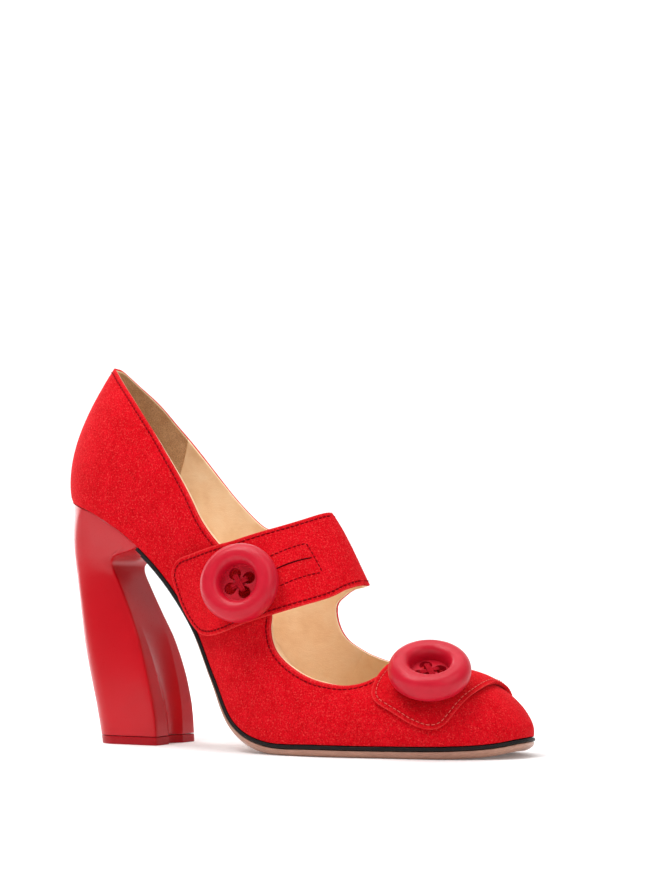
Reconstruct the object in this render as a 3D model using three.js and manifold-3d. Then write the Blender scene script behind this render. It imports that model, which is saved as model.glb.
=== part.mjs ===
// A women's high heel pump, right foot: suede upper with an open instep, a wide buttoned strap over the
// instep, a second strap with a button on the toe, and a tall curved lacquered heel.
// Millimetres, +X towards the toe, +Y towards the inner (medial) side, +Z up.
import * as THREE from "three";
import { mergeVertices } from "three/addons/utils/BufferGeometryUtils.js";
import Module from "manifold-3d";

const wasm = await Module();
wasm.setup();

// ---------------------------------------------------------------- driving dimensions
const SHOE_LENGTH = 214.5; // heel point to toe tip along the ground
const HEEL_HEIGHT = 105; // ground to the back of the seat
const BALL_WIDTH = 75; // across the ball of the foot
const GAP = 0.3; // between pieces that touch

const SUEDE = 1; // upper and strap leather
const BACKER = 0.6; // interlining, counter and toe puff
const LINING = 0.7;
const LASTING_MARGIN = 11; // upper turned in under the insole board

const BOARD = 1.8; // insole board
const FOAM = 1.6;
const SOCK = 0.8;
const RAND = 1.3; // black edge between upper and outsole
const OUTSOLE_BALL = 2.9;
const OUTSOLE_WAIST = 1;
const OUTSOLE_BEVEL = 3.5; // how far the underside is narrower than its top
const SHANK_WIDTH = 10;
const SHANK_THICKNESS = 1.5;

const TOP_PIECE = 3.4;
const GROOVE_TOP = 52; // height where the groove in the heel breast fades out
const GROOVE_HALF_WIDTH = 5.4; // at the ground
const GROOVE_TOP_HALF_WIDTH = 9.2;
const GROOVE_DEPTH = 3.2; // at the ground

const BUTTON_DIAMETER = 32;
const BUTTON_HOLE = 14.6; // open middle of the ring
const BUTTON_THICKNESS = 10.4;
const BUTTON_WEB = 2.4; // sunk plate with the thread holes
const THREAD_HOLE = 5;
const THREAD_HOLE_RADIUS = 4.3; // thread holes from the button's centre
const THREAD_HOLES = [1, 3, 5, 7].map((k) => (k * Math.PI) / 4); // their directions
const THREAD = 2;
const BUTTON_STAND = 1.6; // thread shank between strap and button

const STRAP_BUTTON_LEAN = 0.2; // sideways slope
const STRAP_RISE = 3.4; // how far the strap lies above the quarter that it laps over
const SNAP_DIAMETER = 8;
const SNAP_POST = 3.6;
const NAIL_DIAMETER = 2;
const SCREW_DIAMETER = 4;
const PIN_DIAMETER = 3;

// ---------------------------------------------------------------- the last
// Stations from the back of the heel (t = 0) to the toe tip (t = 1). Each has its place on the feather
// line (along, as a share of the length, and rise, as a share of the heel's rise), the way from there up
// to the ridge (lean, height), the outer and inner half-widths at the feather line as shares of the ball
// width, how square the section is, and how far it swells above the feather line.
const STATIONS = [
  { t: 0, along: -0.03, rise: 1, lean: 19.5, height: 61.5, outer: 0.33, inner: 0.33, full: 3, bulge: 0.06 },
  { t: 0.15, along: 0.103, rise: 0.9, lean: 23, height: 57.5, outer: 0.33, inner: 0.33, full: 2.8, bulge: 0.08 },
  { t: 0.3, along: 0.219, rise: 0.703, lean: 33, height: 55, outer: 0.29, inner: 0.28, full: 2.6, bulge: 0.2 },
  { t: 0.42, along: 0.298, rise: 0.468, lean: 43, height: 57.5, outer: 0.25, inner: 0.24, full: 2.5, bulge: 0.48 },
  { t: 0.52, along: 0.366, rise: 0.243, lean: 43.5, height: 63, outer: 0.33, inner: 0.28, full: 2.5, bulge: 0.28 },
  { t: 0.6, along: 0.427, rise: 0.073, lean: 41.5, height: 59, outer: 0.42, inner: 0.36, full: 2.5, bulge: 0.1 },
  { t: 0.68, along: 0.508, rise: 0.004, lean: 33, height: 46.3, outer: 0.487, inner: 0.447, full: 2.5, bulge: 0.04 },
  { t: 0.76, along: 0.62, rise: 0, lean: 17.5, height: 32.2, outer: 0.507, inner: 0.493, full: 2.5, bulge: 0.03 },
  { t: 0.85, along: 0.76, rise: 0, lean: 8, height: 28.6, outer: 0.433, inner: 0.467, full: 2.3, bulge: 0.03 },
  { t: 0.92, along: 0.86, rise: 0.004, lean: 2, height: 24.1, outer: 0.38, inner: 0.4, full: 2.2, bulge: 0.03 },
  { t: 0.97, along: 0.924, rise: 0.014, lean: 0.5, height: 15.3, outer: 0.35, inner: 0.365, full: 2.1, bulge: 0.03 },
  { t: 1, along: 0.958, rise: 0.03, lean: 1, height: 4.7, outer: 0.335, inner: 0.345, full: 2, bulge: 0.03 },
];
const FEATHER_HEIGHT = GAP + RAND + GAP + OUTSOLE_BALL; // ball of the upper above the ground
const HEEL_ROUND = 0.17; // where the round of the heel ends
const TOE_ROUND = 0.86; // where the round of the toe starts
const TOE_POWER = 2.5;
const BACK_CURVE = 7.5; // bulge of the back seam
const BACK_CURVE_REACH = 0.2;

// A smooth curve through values given at rising knots.
function through(knots, values) {
  const slope = knots.slice(1).map((k, i) => (values[i + 1] - values[i]) / (k - knots[i]));
  const tangent = knots.map((_, i) => {
    const before = slope[Math.max(0, i - 1)];
    const after = slope[Math.min(slope.length - 1, i)];
    return (before + after) / 2;
  });
  return (at) => {
    const x = Math.min(Math.max(at, knots[0]), knots[knots.length - 1]);
    let i = 0;
    while (i < knots.length - 2 && x > knots[i + 1]) i++;
    const w = knots[i + 1] - knots[i];
    const u = (x - knots[i]) / w;
    const a = (2 * u ** 3 - 3 * u ** 2 + 1) * values[i] + (u ** 3 - 2 * u ** 2 + u) * w * tangent[i];
    const b = (3 * u ** 2 - 2 * u ** 3) * values[i + 1] + (u ** 3 - u ** 2) * w * tangent[i + 1];
    return a + b;
  };
}

const stationCurve = (value) => through(STATIONS.map((s) => s.t), STATIONS.map(value));
const featherX = stationCurve((s) => s.along * SHOE_LENGTH);
const featherZ = stationCurve((s) => FEATHER_HEIGHT + s.rise * (HEEL_HEIGHT - FEATHER_HEIGHT));
const ridgeX = stationCurve((s) => s.along * SHOE_LENGTH + s.lean);
const ridgeZ = stationCurve(
  (s) => FEATHER_HEIGHT + s.rise * (HEEL_HEIGHT - FEATHER_HEIGHT) + s.height,
);
const outerHalf = stationCurve((s) => s.outer * BALL_WIDTH);
const innerHalf = stationCurve((s) => s.inner * BALL_WIDTH);
const fullness = stationCurve((s) => s.full);
const sideBulge = stationCurve((s) => s.bulge);

// Unit normal of a curve in the upright middle plane, pointing to its left as t rises.
function normalOf(curveX, curveZ, t) {
  const step = 0.004;
  const a = Math.max(0, t - step);
  const b = Math.min(1, t + step);
  const dx = curveX(b) - curveX(a);
  const dz = curveZ(b) - curveZ(a);
  const length = Math.hypot(dx, dz);
  return [-dz / length, dx / length];
}

const heelEnd = (t) => Math.max(0, 1 - t / HEEL_ROUND);
const toeEnd = (t) => Math.max(0, (t - TOE_ROUND) / (1 - TOE_ROUND));
const planRound = (t) => Math.sqrt(1 - heelEnd(t) ** 2) * Math.sqrt(Math.max(0, 1 - toeEnd(t) ** TOE_POWER));

// A point on the last, moved in by inset. girth runs from 0 at the outer feather line over the ridge (1)
// down to 2 at the inner feather line.
function lastPoint(t, girth, inset = 0) {
  const side = girth <= 1 ? -1 : 1;
  const h = girth <= 1 ? girth : 2 - girth;
  const [bx, bz] = normalOf(featherX, featherZ, t);
  const [rx, rz] = normalOf(ridgeX, ridgeZ, t);
  const low = [featherX(t) + bx * inset, featherZ(t) + bz * inset];
  const high = [ridgeX(t) - rx * inset, ridgeZ(t) - rz * inset];
  const back = BACK_CURVE * Math.sin(Math.PI * h ** 0.75) * Math.max(0, 1 - t / BACK_CURVE_REACH) ** 2;
  const push = inset * (heelEnd(t) - toeEnd(t));
  const half = (side < 0 ? outerHalf(t) : innerHalf(t)) - inset;
  const section = Math.sqrt(Math.max(0, 1 - h ** fullness(t)));
  const y = side * half * planRound(t) * (1 + sideBulge(t) * Math.sin(Math.PI * h)) * section;
  return [low[0] + (high[0] - low[0]) * h - back + push, y, low[1] + (high[1] - low[1]) * h];
}

// Where (t, h) lies in the side view. Values of h over 1 lie above the ridge.
function sideView(t, h) {
  const p = lastPoint(t, Math.min(h, 1));
  const over = Math.max(0, h - 1);
  return [p[0] + over * (ridgeX(t) - featherX(t)), p[2] + over * (ridgeZ(t) - featherZ(t))];
}

// A point on the sole side: margin in from the feather line and level above the last's bottom.
function solePoint(side, t, margin, level) {
  const [nx, nz] = normalOf(featherX, featherZ, t);
  const half = Math.max(0, (side < 0 ? outerHalf(t) : innerHalf(t)) - margin);
  const push = margin * (heelEnd(t) - toeEnd(t));
  return [featherX(t) + nx * level + push, side * half * planRound(t), featherZ(t) + nz * level];
}

// ---------------------------------------------------------------- solids from points
const steps = (n, f) => Array.from({ length: n + 1 }, (_, i) => f(i / n));

// Stations along the shoe: close together round the heel and the toe.
const HEEL_STEPS = 4;
const TOE_STEPS = 5;
const MIDDLE_STEPS = 14;
const ALONG = [
  ...steps(HEEL_STEPS, (u) => HEEL_ROUND * (1 - Math.cos((u * Math.PI) / 2))),
  ...steps(MIDDLE_STEPS, (u) => HEEL_ROUND + u * (TOE_ROUND - HEEL_ROUND)).slice(1),
  ...steps(TOE_STEPS, (u) => TOE_ROUND + (1 - TOE_ROUND) * Math.sin((u * Math.PI) / 2)).slice(1),
];
const GIRTH_STEPS = 7;
const UP = steps(GIRTH_STEPS, (u) => 1 - (1 - u) ** 2);
const ROUND = [...UP, ...UP.slice(0, -1).reverse().map((h) => 2 - h)];

// A solid from points and triangles; doubled points are merged and flat triangles dropped.
function solidOf(points, faces) {
  const flat = new THREE.BufferGeometry();
  flat.setAttribute("position", new THREE.Float32BufferAttribute(points.flat(), 3));
  flat.setIndex(faces.flat());
  return solidOfGeometry(flat);
}

function solidOfGeometry(geometry) {
  const bare = geometry.clone();
  bare.deleteAttribute("normal");
  bare.deleteAttribute("uv");
  const merged = mergeVertices(bare, 1e-4);
  const kept = [];
  const index = merged.index.array;
  for (let i = 0; i < index.length; i += 3) {
    const [a, b, c] = index.slice(i, i + 3);
    if (a !== b && b !== c && a !== c) kept.push(a, b, c);
  }
  const make = (triangles) =>
    new wasm.Manifold(
      new wasm.Mesh({
        numProp: 3,
        vertProperties: merged.attributes.position.array,
        triVerts: new Uint32Array(triangles),
      }),
    );
  const made = make(kept);
  return made.volume() < 0 ? make(kept.reverse()) : made;
}

// A closed solid from rows of points that run round it, capped at its two ends.
function loft(rows) {
  const n = rows[0].length;
  const faces = [];
  for (let i = 0; i + 1 < rows.length; i++)
    for (let j = 0; j < n; j++) {
      const k = (j + 1) % n;
      const [a, b, c, d] = [i * n + j, i * n + k, (i + 1) * n + k, (i + 1) * n + j];
      faces.push([a, b, c], [a, c, d]);
    }
  const end = (rows.length - 1) * n;
  for (const [a, b, c] of capOf(rows[0])) faces.push([c, b, a]);
  for (const [a, b, c] of capOf(rows.at(-1))) faces.push([end + a, end + b, end + c]);
  return solidOf(rows.flat(), faces);
}

// Triangles that fill a row of points, seen along the direction in which the row spreads least. Their
// corners are in the row's own order.
function capOf(row) {
  const spread = [0, 1, 2].map((k) => {
    const all = row.map((q) => q[k]);
    return Math.max(...all) - Math.min(...all);
  });
  const out = spread.indexOf(Math.min(...spread));
  const contour = row.map((p) => new THREE.Vector2(...p.filter((_, k) => k !== out)));
  return THREE.ShapeUtils.triangulateShape(contour, []).map((t) => [...t].sort((a, b) => a - b));
}

// A sheet of even thickness: a grid of outer points and a grid of inner ones, closed round its rim.
function sheet(outer, inner) {
  const rows = outer.length;
  const cols = outer[0].length;
  const points = [...outer.flat(), ...inner.flat()];
  const at = (i, j, under) => under * rows * cols + i * cols + j;
  const faces = [];
  const quad = (a, b, c, d) => faces.push([a, b, c], [a, c, d]);
  for (let i = 0; i + 1 < rows; i++)
    for (let j = 0; j + 1 < cols; j++) {
      quad(at(i, j, 0), at(i, j + 1, 0), at(i + 1, j + 1, 0), at(i + 1, j, 0));
      quad(at(i, j, 1), at(i + 1, j, 1), at(i + 1, j + 1, 1), at(i, j + 1, 1));
    }
  for (let i = 0; i + 1 < rows; i++)
    for (const [j, flip] of [[0, false], [cols - 1, true]]) {
      const [a, b, c, d] = [at(i, j, 0), at(i + 1, j, 0), at(i + 1, j, 1), at(i, j, 1)];
      flip ? quad(a, d, c, b) : quad(a, b, c, d);
    }
  for (let j = 0; j + 1 < cols; j++)
    for (const [i, flip] of [[0, true], [rows - 1, false]]) {
      const [a, b, c, d] = [at(i, j, 0), at(i, j + 1, 0), at(i, j + 1, 1), at(i, j, 1)];
      flip ? quad(a, d, c, b) : quad(a, b, c, d);
    }
  return solidOf(points, faces);
}

// The whole last, moved in by inset, as a solid.
const lastBody = (inset) => loftClosed(ALONG.map((t) => ROUND.map((g) => lastPoint(t, g, inset))));

// A solid from rows that run round it and shrink to a line at both ends.
function loftClosed(rows) {
  const n = rows[0].length;
  const faces = [];
  for (let i = 0; i + 1 < rows.length; i++)
    for (let j = 0; j < n; j++) {
      const k = (j + 1) % n;
      const [a, b, c, d] = [i * n + j, i * n + k, (i + 1) * n + k, (i + 1) * n + j];
      faces.push([a, b, c], [a, c, d]);
    }
  return solidOf(rows.flat(), faces);
}

const within = (from, to) => [from, ...ALONG.filter((t) => t > from + 0.008 && t < to - 0.008), to];

// A layer that follows the last's bottom. margin is how far its edge lies in from the feather line, and low
// and high are its faces' heights above the last's bottom, all at the station t.
function soleLayer({ from = 0, to = 1, margin, lowMargin = margin, low, high, floor = -Infinity }) {
  const rows = within(from, to).map((t) => [
    solePoint(-1, t, lowMargin(t), low(t)),
    solePoint(1, t, lowMargin(t), low(t)),
    solePoint(1, t, margin(t), high(t)),
    solePoint(-1, t, margin(t), high(t)),
  ]);
  for (const row of rows) for (const p of row) p[2] = Math.max(p[2], floor);
  const closed = from === 0 && to === 1;
  return closed ? loftClosed(rows) : loft(rows);
}
const same = (value) => () => value;

// A block through the shoe on one side of the middle plane, with an outline given in the side view.
function sideBlock(outline, side) {
  const reach = BALL_WIDTH;
  const shape = new THREE.Shape(outline.map(([x, z]) => new THREE.Vector2(x, z)));
  const geometry = new THREE.ExtrudeGeometry(shape, { depth: reach, bevelEnabled: false });
  geometry.rotateX(Math.PI / 2); // the outline's z goes up and the depth goes to -Y
  geometry.translate(0, side < 0 ? 0 : reach, 0);
  return solidOfGeometry(geometry);
}

function box(x0, x1, y0, y1, z0, z1) {
  const geometry = new THREE.BoxGeometry(x1 - x0, y1 - y0, z1 - z0);
  geometry.translate((x0 + x1) / 2, (y0 + y1) / 2, (z0 + z1) / 2);
  return solidOfGeometry(geometry);
}

// A turned solid on the Z axis, from [radius, z] points that start and end on the axis.
function turned(profile, sides = 20) {
  return solidOfGeometry(new THREE.LatheGeometry(
    profile.map(([r, z]) => new THREE.Vector2(r, z)), sides).rotateX(Math.PI / 2));
}
const rod = (radius, z0, z1, sides = 12) => turned([[0, z0], [radius, z0], [radius, z1], [0, z1]], sides);

// The solid with its own Z axis laid along axis and its origin at the place.
function placed(solid, place, axis) {
  const turn = new THREE.Quaternion().setFromUnitVectors(
    new THREE.Vector3(0, 0, 1), new THREE.Vector3(...axis).normalize());
  const matrix = new THREE.Matrix4().compose(
    new THREE.Vector3(...place), turn, new THREE.Vector3(1, 1, 1));
  return solidOfGeometry(geometryOf(solid).applyMatrix4(matrix));
}

function geometryOf(solid) {
  const mesh = solid.getMesh();
  const n = mesh.numProp;
  const position = new Float32Array(mesh.numVert * 3);
  for (let i = 0; i < mesh.numVert; i++) position.set(mesh.vertProperties.subarray(i * n, i * n + 3), i * 3);
  const geometry = new THREE.BufferGeometry();
  geometry.setAttribute("position", new THREE.BufferAttribute(position, 3));
  geometry.setIndex(new THREE.BufferAttribute(new Uint32Array(mesh.triVerts), 1));
  return geometry;
}

// ---------------------------------------------------------------- outlines on the last, as [t, h or girth]
const BACK_TOP = 0.945; // height of the back seam's top, as a share of the last's height there
const OUTER_OPENING = [
  [0, BACK_TOP], [0.022, 0.935], [0.09, 0.85], [0.168, 0.73], [0.236, 0.62], [0.307, 0.52], [0.344, 0.475],
  [0.383, 0.465], [0.43, 0.485], [0.5, 0.53], [0.55, 0.55], [0.569, 0.505], [0.588, 0.48], [0.613, 0.48],
  [0.65, 0.51], [0.694, 0.56], [0.731, 0.63], [0.753, 0.69], [0.769, 0.77], [0.776, 0.87], [0.772, 0.95],
  [0.762, 1], [0.75, 1.2],
];
const INNER_TOPLINE = [
  [0, BACK_TOP], [0.01, 0.94], [0.041, 0.88], [0.081, 0.8], [0.125, 0.69], [0.175, 0.6], [0.234, 0.53],
  [0.292, 0.49], [0.349, 0.49], [0.38, 0.54], [0.41, 0.62], [0.44, 0.74], [0.465, 0.86], [0.497, 1],
  [0.51, 1.2],
];
const INNER_THROAT = [
  [0.63, 1.2], [0.617, 1], [0.6, 0.92], [0.575, 0.79], [0.56, 0.67], [0.556, 0.61], [0.562, 0.57],
  [0.578, 0.54], [0.601, 0.54], [0.628, 0.57], [0.655, 0.61], [0.694, 0.69], [0.73, 0.8], [0.762, 1],
  [0.75, 1.2],
];
const STRAP_TOP_EDGE = [
  [0.345, 0.16], [0.354, 0.23], [0.376, 0.34], [0.403, 0.48], [0.424, 0.58], [0.453, 0.74], [0.479, 0.89],
  [0.497, 1],
];
const STRAP_LOW_EDGE = [
  [0.481, 0.14], [0.505, 0.25], [0.522, 0.34], [0.557, 0.54], [0.584, 0.71], [0.606, 0.86], [0.613, 0.95],
  [0.617, 1],
];
const STRAP_END_BOW = 0.08; // how far the strap's free end bows out
const BOW_FADE = 6; // how soon the bow fades out along the strap
const VAMP_STRAP_REAR = [
  [0.8, 0.58], [0.79, 0.7], [0.778, 0.85], [0.768, 1], [0.768, 1.2], [0.775, 1.45], [0.785, 1.7],
  [0.79, 1.96],
];
const VAMP_STRAP_FRONT = [
  [0.899, 0.22], [0.912, 0.4], [0.924, 0.7], [0.936, 1], [0.934, 1.25], [0.926, 1.5], [0.915, 1.75],
  [0.905, 1.96],
];
const STRAP_BUTTON_AT = [0.495, 0.5];
const VAMP_BUTTON_AT = [0.865, 0.8];
const SNAP_AT = [0.45, 0.28];
const GRIP_SEAM = 0.142; // station where the heel grip meets the quarter linings
const VAMP_LINING_SEAM = 0.64;
const COUNTER_END = 0.2;
const COUNTER_TOP = 0.55;
const TOE_PUFF_START = 0.9;
const SEAT_FRONT = 0.25; // where the heel's lip ends and the sole begins

const curveOf = (points) => {
  const knots = points.map((_, i) => i / (points.length - 1));
  const t = through(knots, points.map((p) => p[0]));
  const g = through(knots, points.map((p) => p[1]));
  return (u) => [t(u), g(u)];
};

// ---------------------------------------------------------------- upper
const SKY = 1.6; // share of the last's height that clears every piece
const BEHIND = [25, 4]; // how far behind and above the back seam an opening's outline closes
const behindHeel = (h) => {
  const [x, z] = sideView(0, h);
  return [x - BEHIND[0], z + BEHIND[1]];
};
const outlinePoints = (points, n) => steps(n, (u) => sideView(...curveOf(points)(u)));

// What is cut out of the upper and its linings, one block for each hole on each side.
const OPENINGS = [
  sideBlock([
    behindHeel(BACK_TOP), ...outlinePoints(OUTER_OPENING, 44), sideView(0.7, SKY), sideView(0.3, SKY),
    sideView(0, SKY), behindHeel(SKY),
  ], -1),
  sideBlock([
    behindHeel(BACK_TOP), ...outlinePoints(INNER_TOPLINE, 28), sideView(0.4, SKY), sideView(0, SKY),
    behindHeel(SKY),
  ], 1),
  sideBlock(outlinePoints(INNER_THROAT, 28), 1),
];
const SOLE_HOLE = 10; // how far the cutter for the sole's hole reaches past the upper, up and down
const openSole = soleLayer({ margin: same(LASTING_MARGIN), low: same(-SOLE_HOLE), high: same(SOLE_HOLE) });

// A layer of the upper between two depths, with the foot opening and the sole left open.
function upperLayer(from, depth) {
  let layer = lastBody(from).subtract(lastBody(from + depth)).subtract(openSole);
  for (const block of OPENINGS) layer = layer.subtract(block);
  return layer;
}

// The part of a layer between two stations, up to a height.
const CELLAR = -0.4; // share of the last's height that lies under every piece
function between(from, to, high = SKY, low = CELLAR) {
  const reach = 40; // past the heel or the toe
  const far = (t, h) => {
    const [x, z] = sideView(t, h);
    const push = t === 0 ? -reach : t === 1 ? reach : 0;
    return [x + push, z];
  };
  const floor = (t) => {
    const [x, z] = far(t, 0);
    return [x + low * (ridgeX(t) - featherX(t)), z + low * (ridgeZ(t) - featherZ(t))];
  };
  const stops = steps(12, (u) => from + u * (to - from));
  const outline = [...stops.map(floor), ...stops.reverse().map((t) => far(t, high))];
  return sideBlock(outline, -1).add(sideBlock(outline, 1));
}

const suedeUpperWhole = upperLayer(0, SUEDE);
const middleLayer = upperLayer(SUEDE + GAP, BACKER);
const liningDepth = SUEDE + GAP + BACKER + GAP;
const liningLayer = upperLayer(liningDepth, LINING);
const WALL = liningDepth + LINING;

const heelCounter = middleLayer.intersect(between(0, COUNTER_END, COUNTER_TOP));
const toePuff = middleLayer.intersect(between(TOE_PUFF_START, 1));
const seamGap = GAP / 60; // a gap as a share of the last's length or height
const interlining = middleLayer
  .subtract(between(0, COUNTER_END + seamGap, COUNTER_TOP + seamGap))
  .subtract(between(TOE_PUFF_START - seamGap, 1));
const heelGrip = liningLayer.intersect(between(0, GRIP_SEAM));
const quarterLinings = liningLayer.intersect(between(GRIP_SEAM + seamGap, VAMP_LINING_SEAM));
const outerSide = box(-SHOE_LENGTH, 2 * SHOE_LENGTH, -BALL_WIDTH, 0, -HEEL_HEIGHT, 3 * HEEL_HEIGHT);
const innerSide = box(-SHOE_LENGTH, 2 * SHOE_LENGTH, 0, BALL_WIDTH, -HEEL_HEIGHT, 3 * HEEL_HEIGHT);
const vampLining = liningLayer.intersect(between(VAMP_LINING_SEAM + seamGap, 1));

// ---------------------------------------------------------------- inside the sole
const TOE_WALL_SLOPE = 4; // how much further in the footbed stays where the toe's wall leans in
const FOOTBED_EASE = 1.2; // between the footbed's edge and the lining
const footbedMargin = (t) => WALL + FOOTBED_EASE + TOE_WALL_SLOPE * toeEnd(t);
const boardLow = WALL + GAP;
const boardHigh = boardLow + BOARD;
const foamLow = boardHigh + GAP;
const sockLow = foamLow + FOAM + GAP;
const footbedLayer = (low, thickness) =>
  soleLayer({ margin: footbedMargin, low: same(low), high: same(low + thickness) });
const insoleBoardWhole = footbedLayer(boardLow, BOARD);
const footbedFoam = footbedLayer(foamLow, FOAM);
const sockLining = footbedLayer(sockLow, SOCK);

const SHANK_FROM = 0.14;
const SHANK_TO = 0.56;
const FILLER_TO = 0.93;
const shankHigh = boardLow - GAP;
function shankPlate() {
  const rows = within(SHANK_FROM, SHANK_TO).map((t) =>
    [[-1, shankHigh - SHANK_THICKNESS], [1, shankHigh - SHANK_THICKNESS], [1, shankHigh], [-1, shankHigh]]
      .map(([side, up]) => {
        const [x, , z] = solePoint(1, t, 0, up);
        return [x, (side * SHANK_WIDTH) / 2, z];
      }));
  return loft(rows);
}
const bottomFiller = soleLayer({
  from: SHANK_TO + seamGap, to: FILLER_TO, margin: same(LASTING_MARGIN + 3 * GAP),
  low: same(GAP), high: same(boardLow - GAP),
});

// A fastener through the footbed at (t, y): its head is at the level top and it points down into the sole.
const soleNormal = (t) => {
  const [nx, nz] = normalOf(featherX, featherZ, t);
  return [nx, 0, nz];
};
function driven(solid, t, y, top) {
  const [x, , z] = solePoint(1, t, 0, top);
  return placed(solid, [x, y, z], soleNormal(t));
}
const HEAD_DEPTH = 0.9;
const nail = (radius, headRadius, length, grow = 0) => turned([
  [0, grow], [headRadius + grow, grow], [headRadius + grow, -HEAD_DEPTH - grow], [radius + grow, -HEAD_DEPTH - grow],
  [radius + grow, -length - grow], [0, -length - grow]], 12);

const [RIVET_RADIUS, RIVET_HEAD] = [1.2, 2.2];
const RIVET_LENGTH = BOARD + GAP + SHANK_THICKNESS;
const RIVETS = [["shank_rivet_rear", 0.22], ["shank_rivet_front", 0.5]];
const rivetAt = (t, grow) => driven(nail(RIVET_RADIUS, RIVET_HEAD, RIVET_LENGTH, grow), t, 0, boardHigh);

const NAIL_LENGTH = 17;
const NAIL_HEAD = 2.2;
const NAILS = [
  ["heel_nail_rear_outer", 0.09, -5.5], ["heel_nail_rear_inner", 0.09, 5.5],
  ["heel_nail_front_outer", 0.16, -9], ["heel_nail_front_inner", 0.16, 9],
];
const nailAt = (t, y, grow) =>
  driven(nail(NAIL_DIAMETER / 2, NAIL_HEAD, NAIL_LENGTH, grow), t, y, boardHigh);
const SCREW_AT = 0.125;
const SCREW_LENGTH = 26;
const screwAt = (grow) =>
  driven(nail(SCREW_DIAMETER / 2, SCREW_DIAMETER * 0.95, SCREW_LENGTH, grow), SCREW_AT, 0, boardHigh);

const seatFasteners = [
  ...NAILS.map(([, t, y]) => nailAt(t, y, GAP)),
  screwAt(GAP),
];
const cutAll = (solid, cutters) => cutters.reduce((rest, cutter) => rest.subtract(cutter), solid);
const rivetHoles = RIVETS.map(([, t]) => rivetAt(t, GAP));
const insoleBoard = cutAll(insoleBoardWhole, [...seatFasteners, ...rivetHoles]);
const steelShank = cutAll(shankPlate(), rivetHoles);

// ---------------------------------------------------------------- outsole
const EDGE_OUT = 0.3; // how far the sole's edge stands out past the upper
const soleRand = soleLayer({
  from: SEAT_FRONT, margin: same(-EDGE_OUT), low: same(-GAP - RAND), high: same(-GAP),
});
const [WAIST_END, BALL_START] = [0.45, 0.65];
const waistToBall = (t) => Math.min(1, Math.max(0, (t - WAIST_END) / (BALL_START - WAIST_END)));
const outsoleTop = -GAP - RAND - GAP;
const GROUND_FLAT = 0.3; // depth of outsole pressed flat where the ball stands on the ground
const outsoleThickness = (t) => {
  const u = waistToBall(t);
  return OUTSOLE_WAIST + (OUTSOLE_BALL - OUTSOLE_WAIST) * u * u * (3 - 2 * u);
};
const outsole = soleLayer({
  from: SEAT_FRONT + seamGap * 3, to: 1, margin: same(EDGE_OUT), lowMargin: same(OUTSOLE_BEVEL),
  low: (t) => outsoleTop - outsoleThickness(t) - GROUND_FLAT * waistToBall(t), high: same(outsoleTop),
  floor: 0,
});
const PLATE_AT = 0.4;
const PLATE_SIZE = [10, 5, 0.6];
function solePlate() {
  const [length, width, thickness] = PLATE_SIZE;
  const [x, , z] = solePoint(1, PLATE_AT, 0, outsoleTop - OUTSOLE_WAIST - GAP - thickness);
  const plate = box(-length / 2, length / 2, -width / 2, width / 2, 0, thickness);
  return placed(plate, [x, 0, z], soleNormal(PLATE_AT));
}

// ---------------------------------------------------------------- heel
// Levels of the heel from the ground up: share of the heel height, back and front along the shoe as shares
// of its length, and half-widths at the back and the front as shares of the ball width.
const HEEL_LEVELS = [
  { up: 0, back: 0.05, front: 0.206, rear: 0.2, fore: 0.206 },
  { up: 0.09, back: 0.041, front: 0.203, rear: 0.2, fore: 0.208 },
  { up: 0.16, back: 0.033, front: 0.198, rear: 0.2, fore: 0.211 },
  { up: 0.26, back: 0.02, front: 0.186, rear: 0.197, fore: 0.212 },
  { up: 0.34, back: 0.01, front: 0.174, rear: 0.193, fore: 0.205 },
  { up: 0.43, back: 0, front: 0.158, rear: 0.188, fore: 0.192 },
  { up: 0.53, back: -0.009, front: 0.134, rear: 0.183, fore: 0.172 },
  { up: 0.63, back: -0.017, front: 0.109, rear: 0.18, fore: 0.164 },
  { up: 0.7, back: -0.022, front: 0.092, rear: 0.183, fore: 0.163 },
  { up: 0.728, back: -0.024, front: 0.09, rear: 0.187, fore: 0.166 },
  { up: 0.752, back: -0.026, front: 0.1, rear: 0.192, fore: 0.19 },
  { up: 0.766, back: -0.027, front: 0.122, rear: 0.197, fore: 0.225 },
  { up: 0.776, back: -0.028, front: 0.15, rear: 0.203, fore: 0.27 },
  { up: 0.79, back: -0.029, front: 0.18, rear: 0.21, fore: 0.31 },
  { up: 0.87, back: -0.034, front: 0.18, rear: 0.255, fore: 0.345 },
  { up: 0.95, back: -0.038, front: 0.18, rear: 0.305, fore: 0.35 },
  { up: 1.02, back: -0.041, front: 0.18, rear: 0.34, fore: 0.35 },
];
const BACK_ARC_STEPS = 8;
const BREAST_CORNER = 1.2;
const heelCurve = (value) => through(HEEL_LEVELS.map((l) => l.up), HEEL_LEVELS.map(value));
const heelFront = heelCurve((l) => l.front);

function heelRow({ up, back, front, rear, fore }) {
  const [x0, x1] = [back * SHOE_LENGTH, front * SHOE_LENGTH];
  const [w0, w1] = [rear * BALL_WIDTH, fore * BALL_WIDTH];
  const z = up * HEEL_HEIGHT;
  const arc = Math.min((x1 - x0) * 0.5, w0 * 0.9);
  const round = steps(BACK_ARC_STEPS, (u) => {
    const a = -Math.PI / 2 + u * Math.PI;
    return [x0 + arc * (1 - Math.abs(Math.cos(a)) ** 0.8), w0 * Math.sin(a), z];
  });
  return [
    ...round, [x1 - BREAST_CORNER, w1, z], [x1, w1 - BREAST_CORNER, z],
    [x1, BREAST_CORNER - w1, z], [x1 - BREAST_CORNER, -w1, z],
  ];
}

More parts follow.
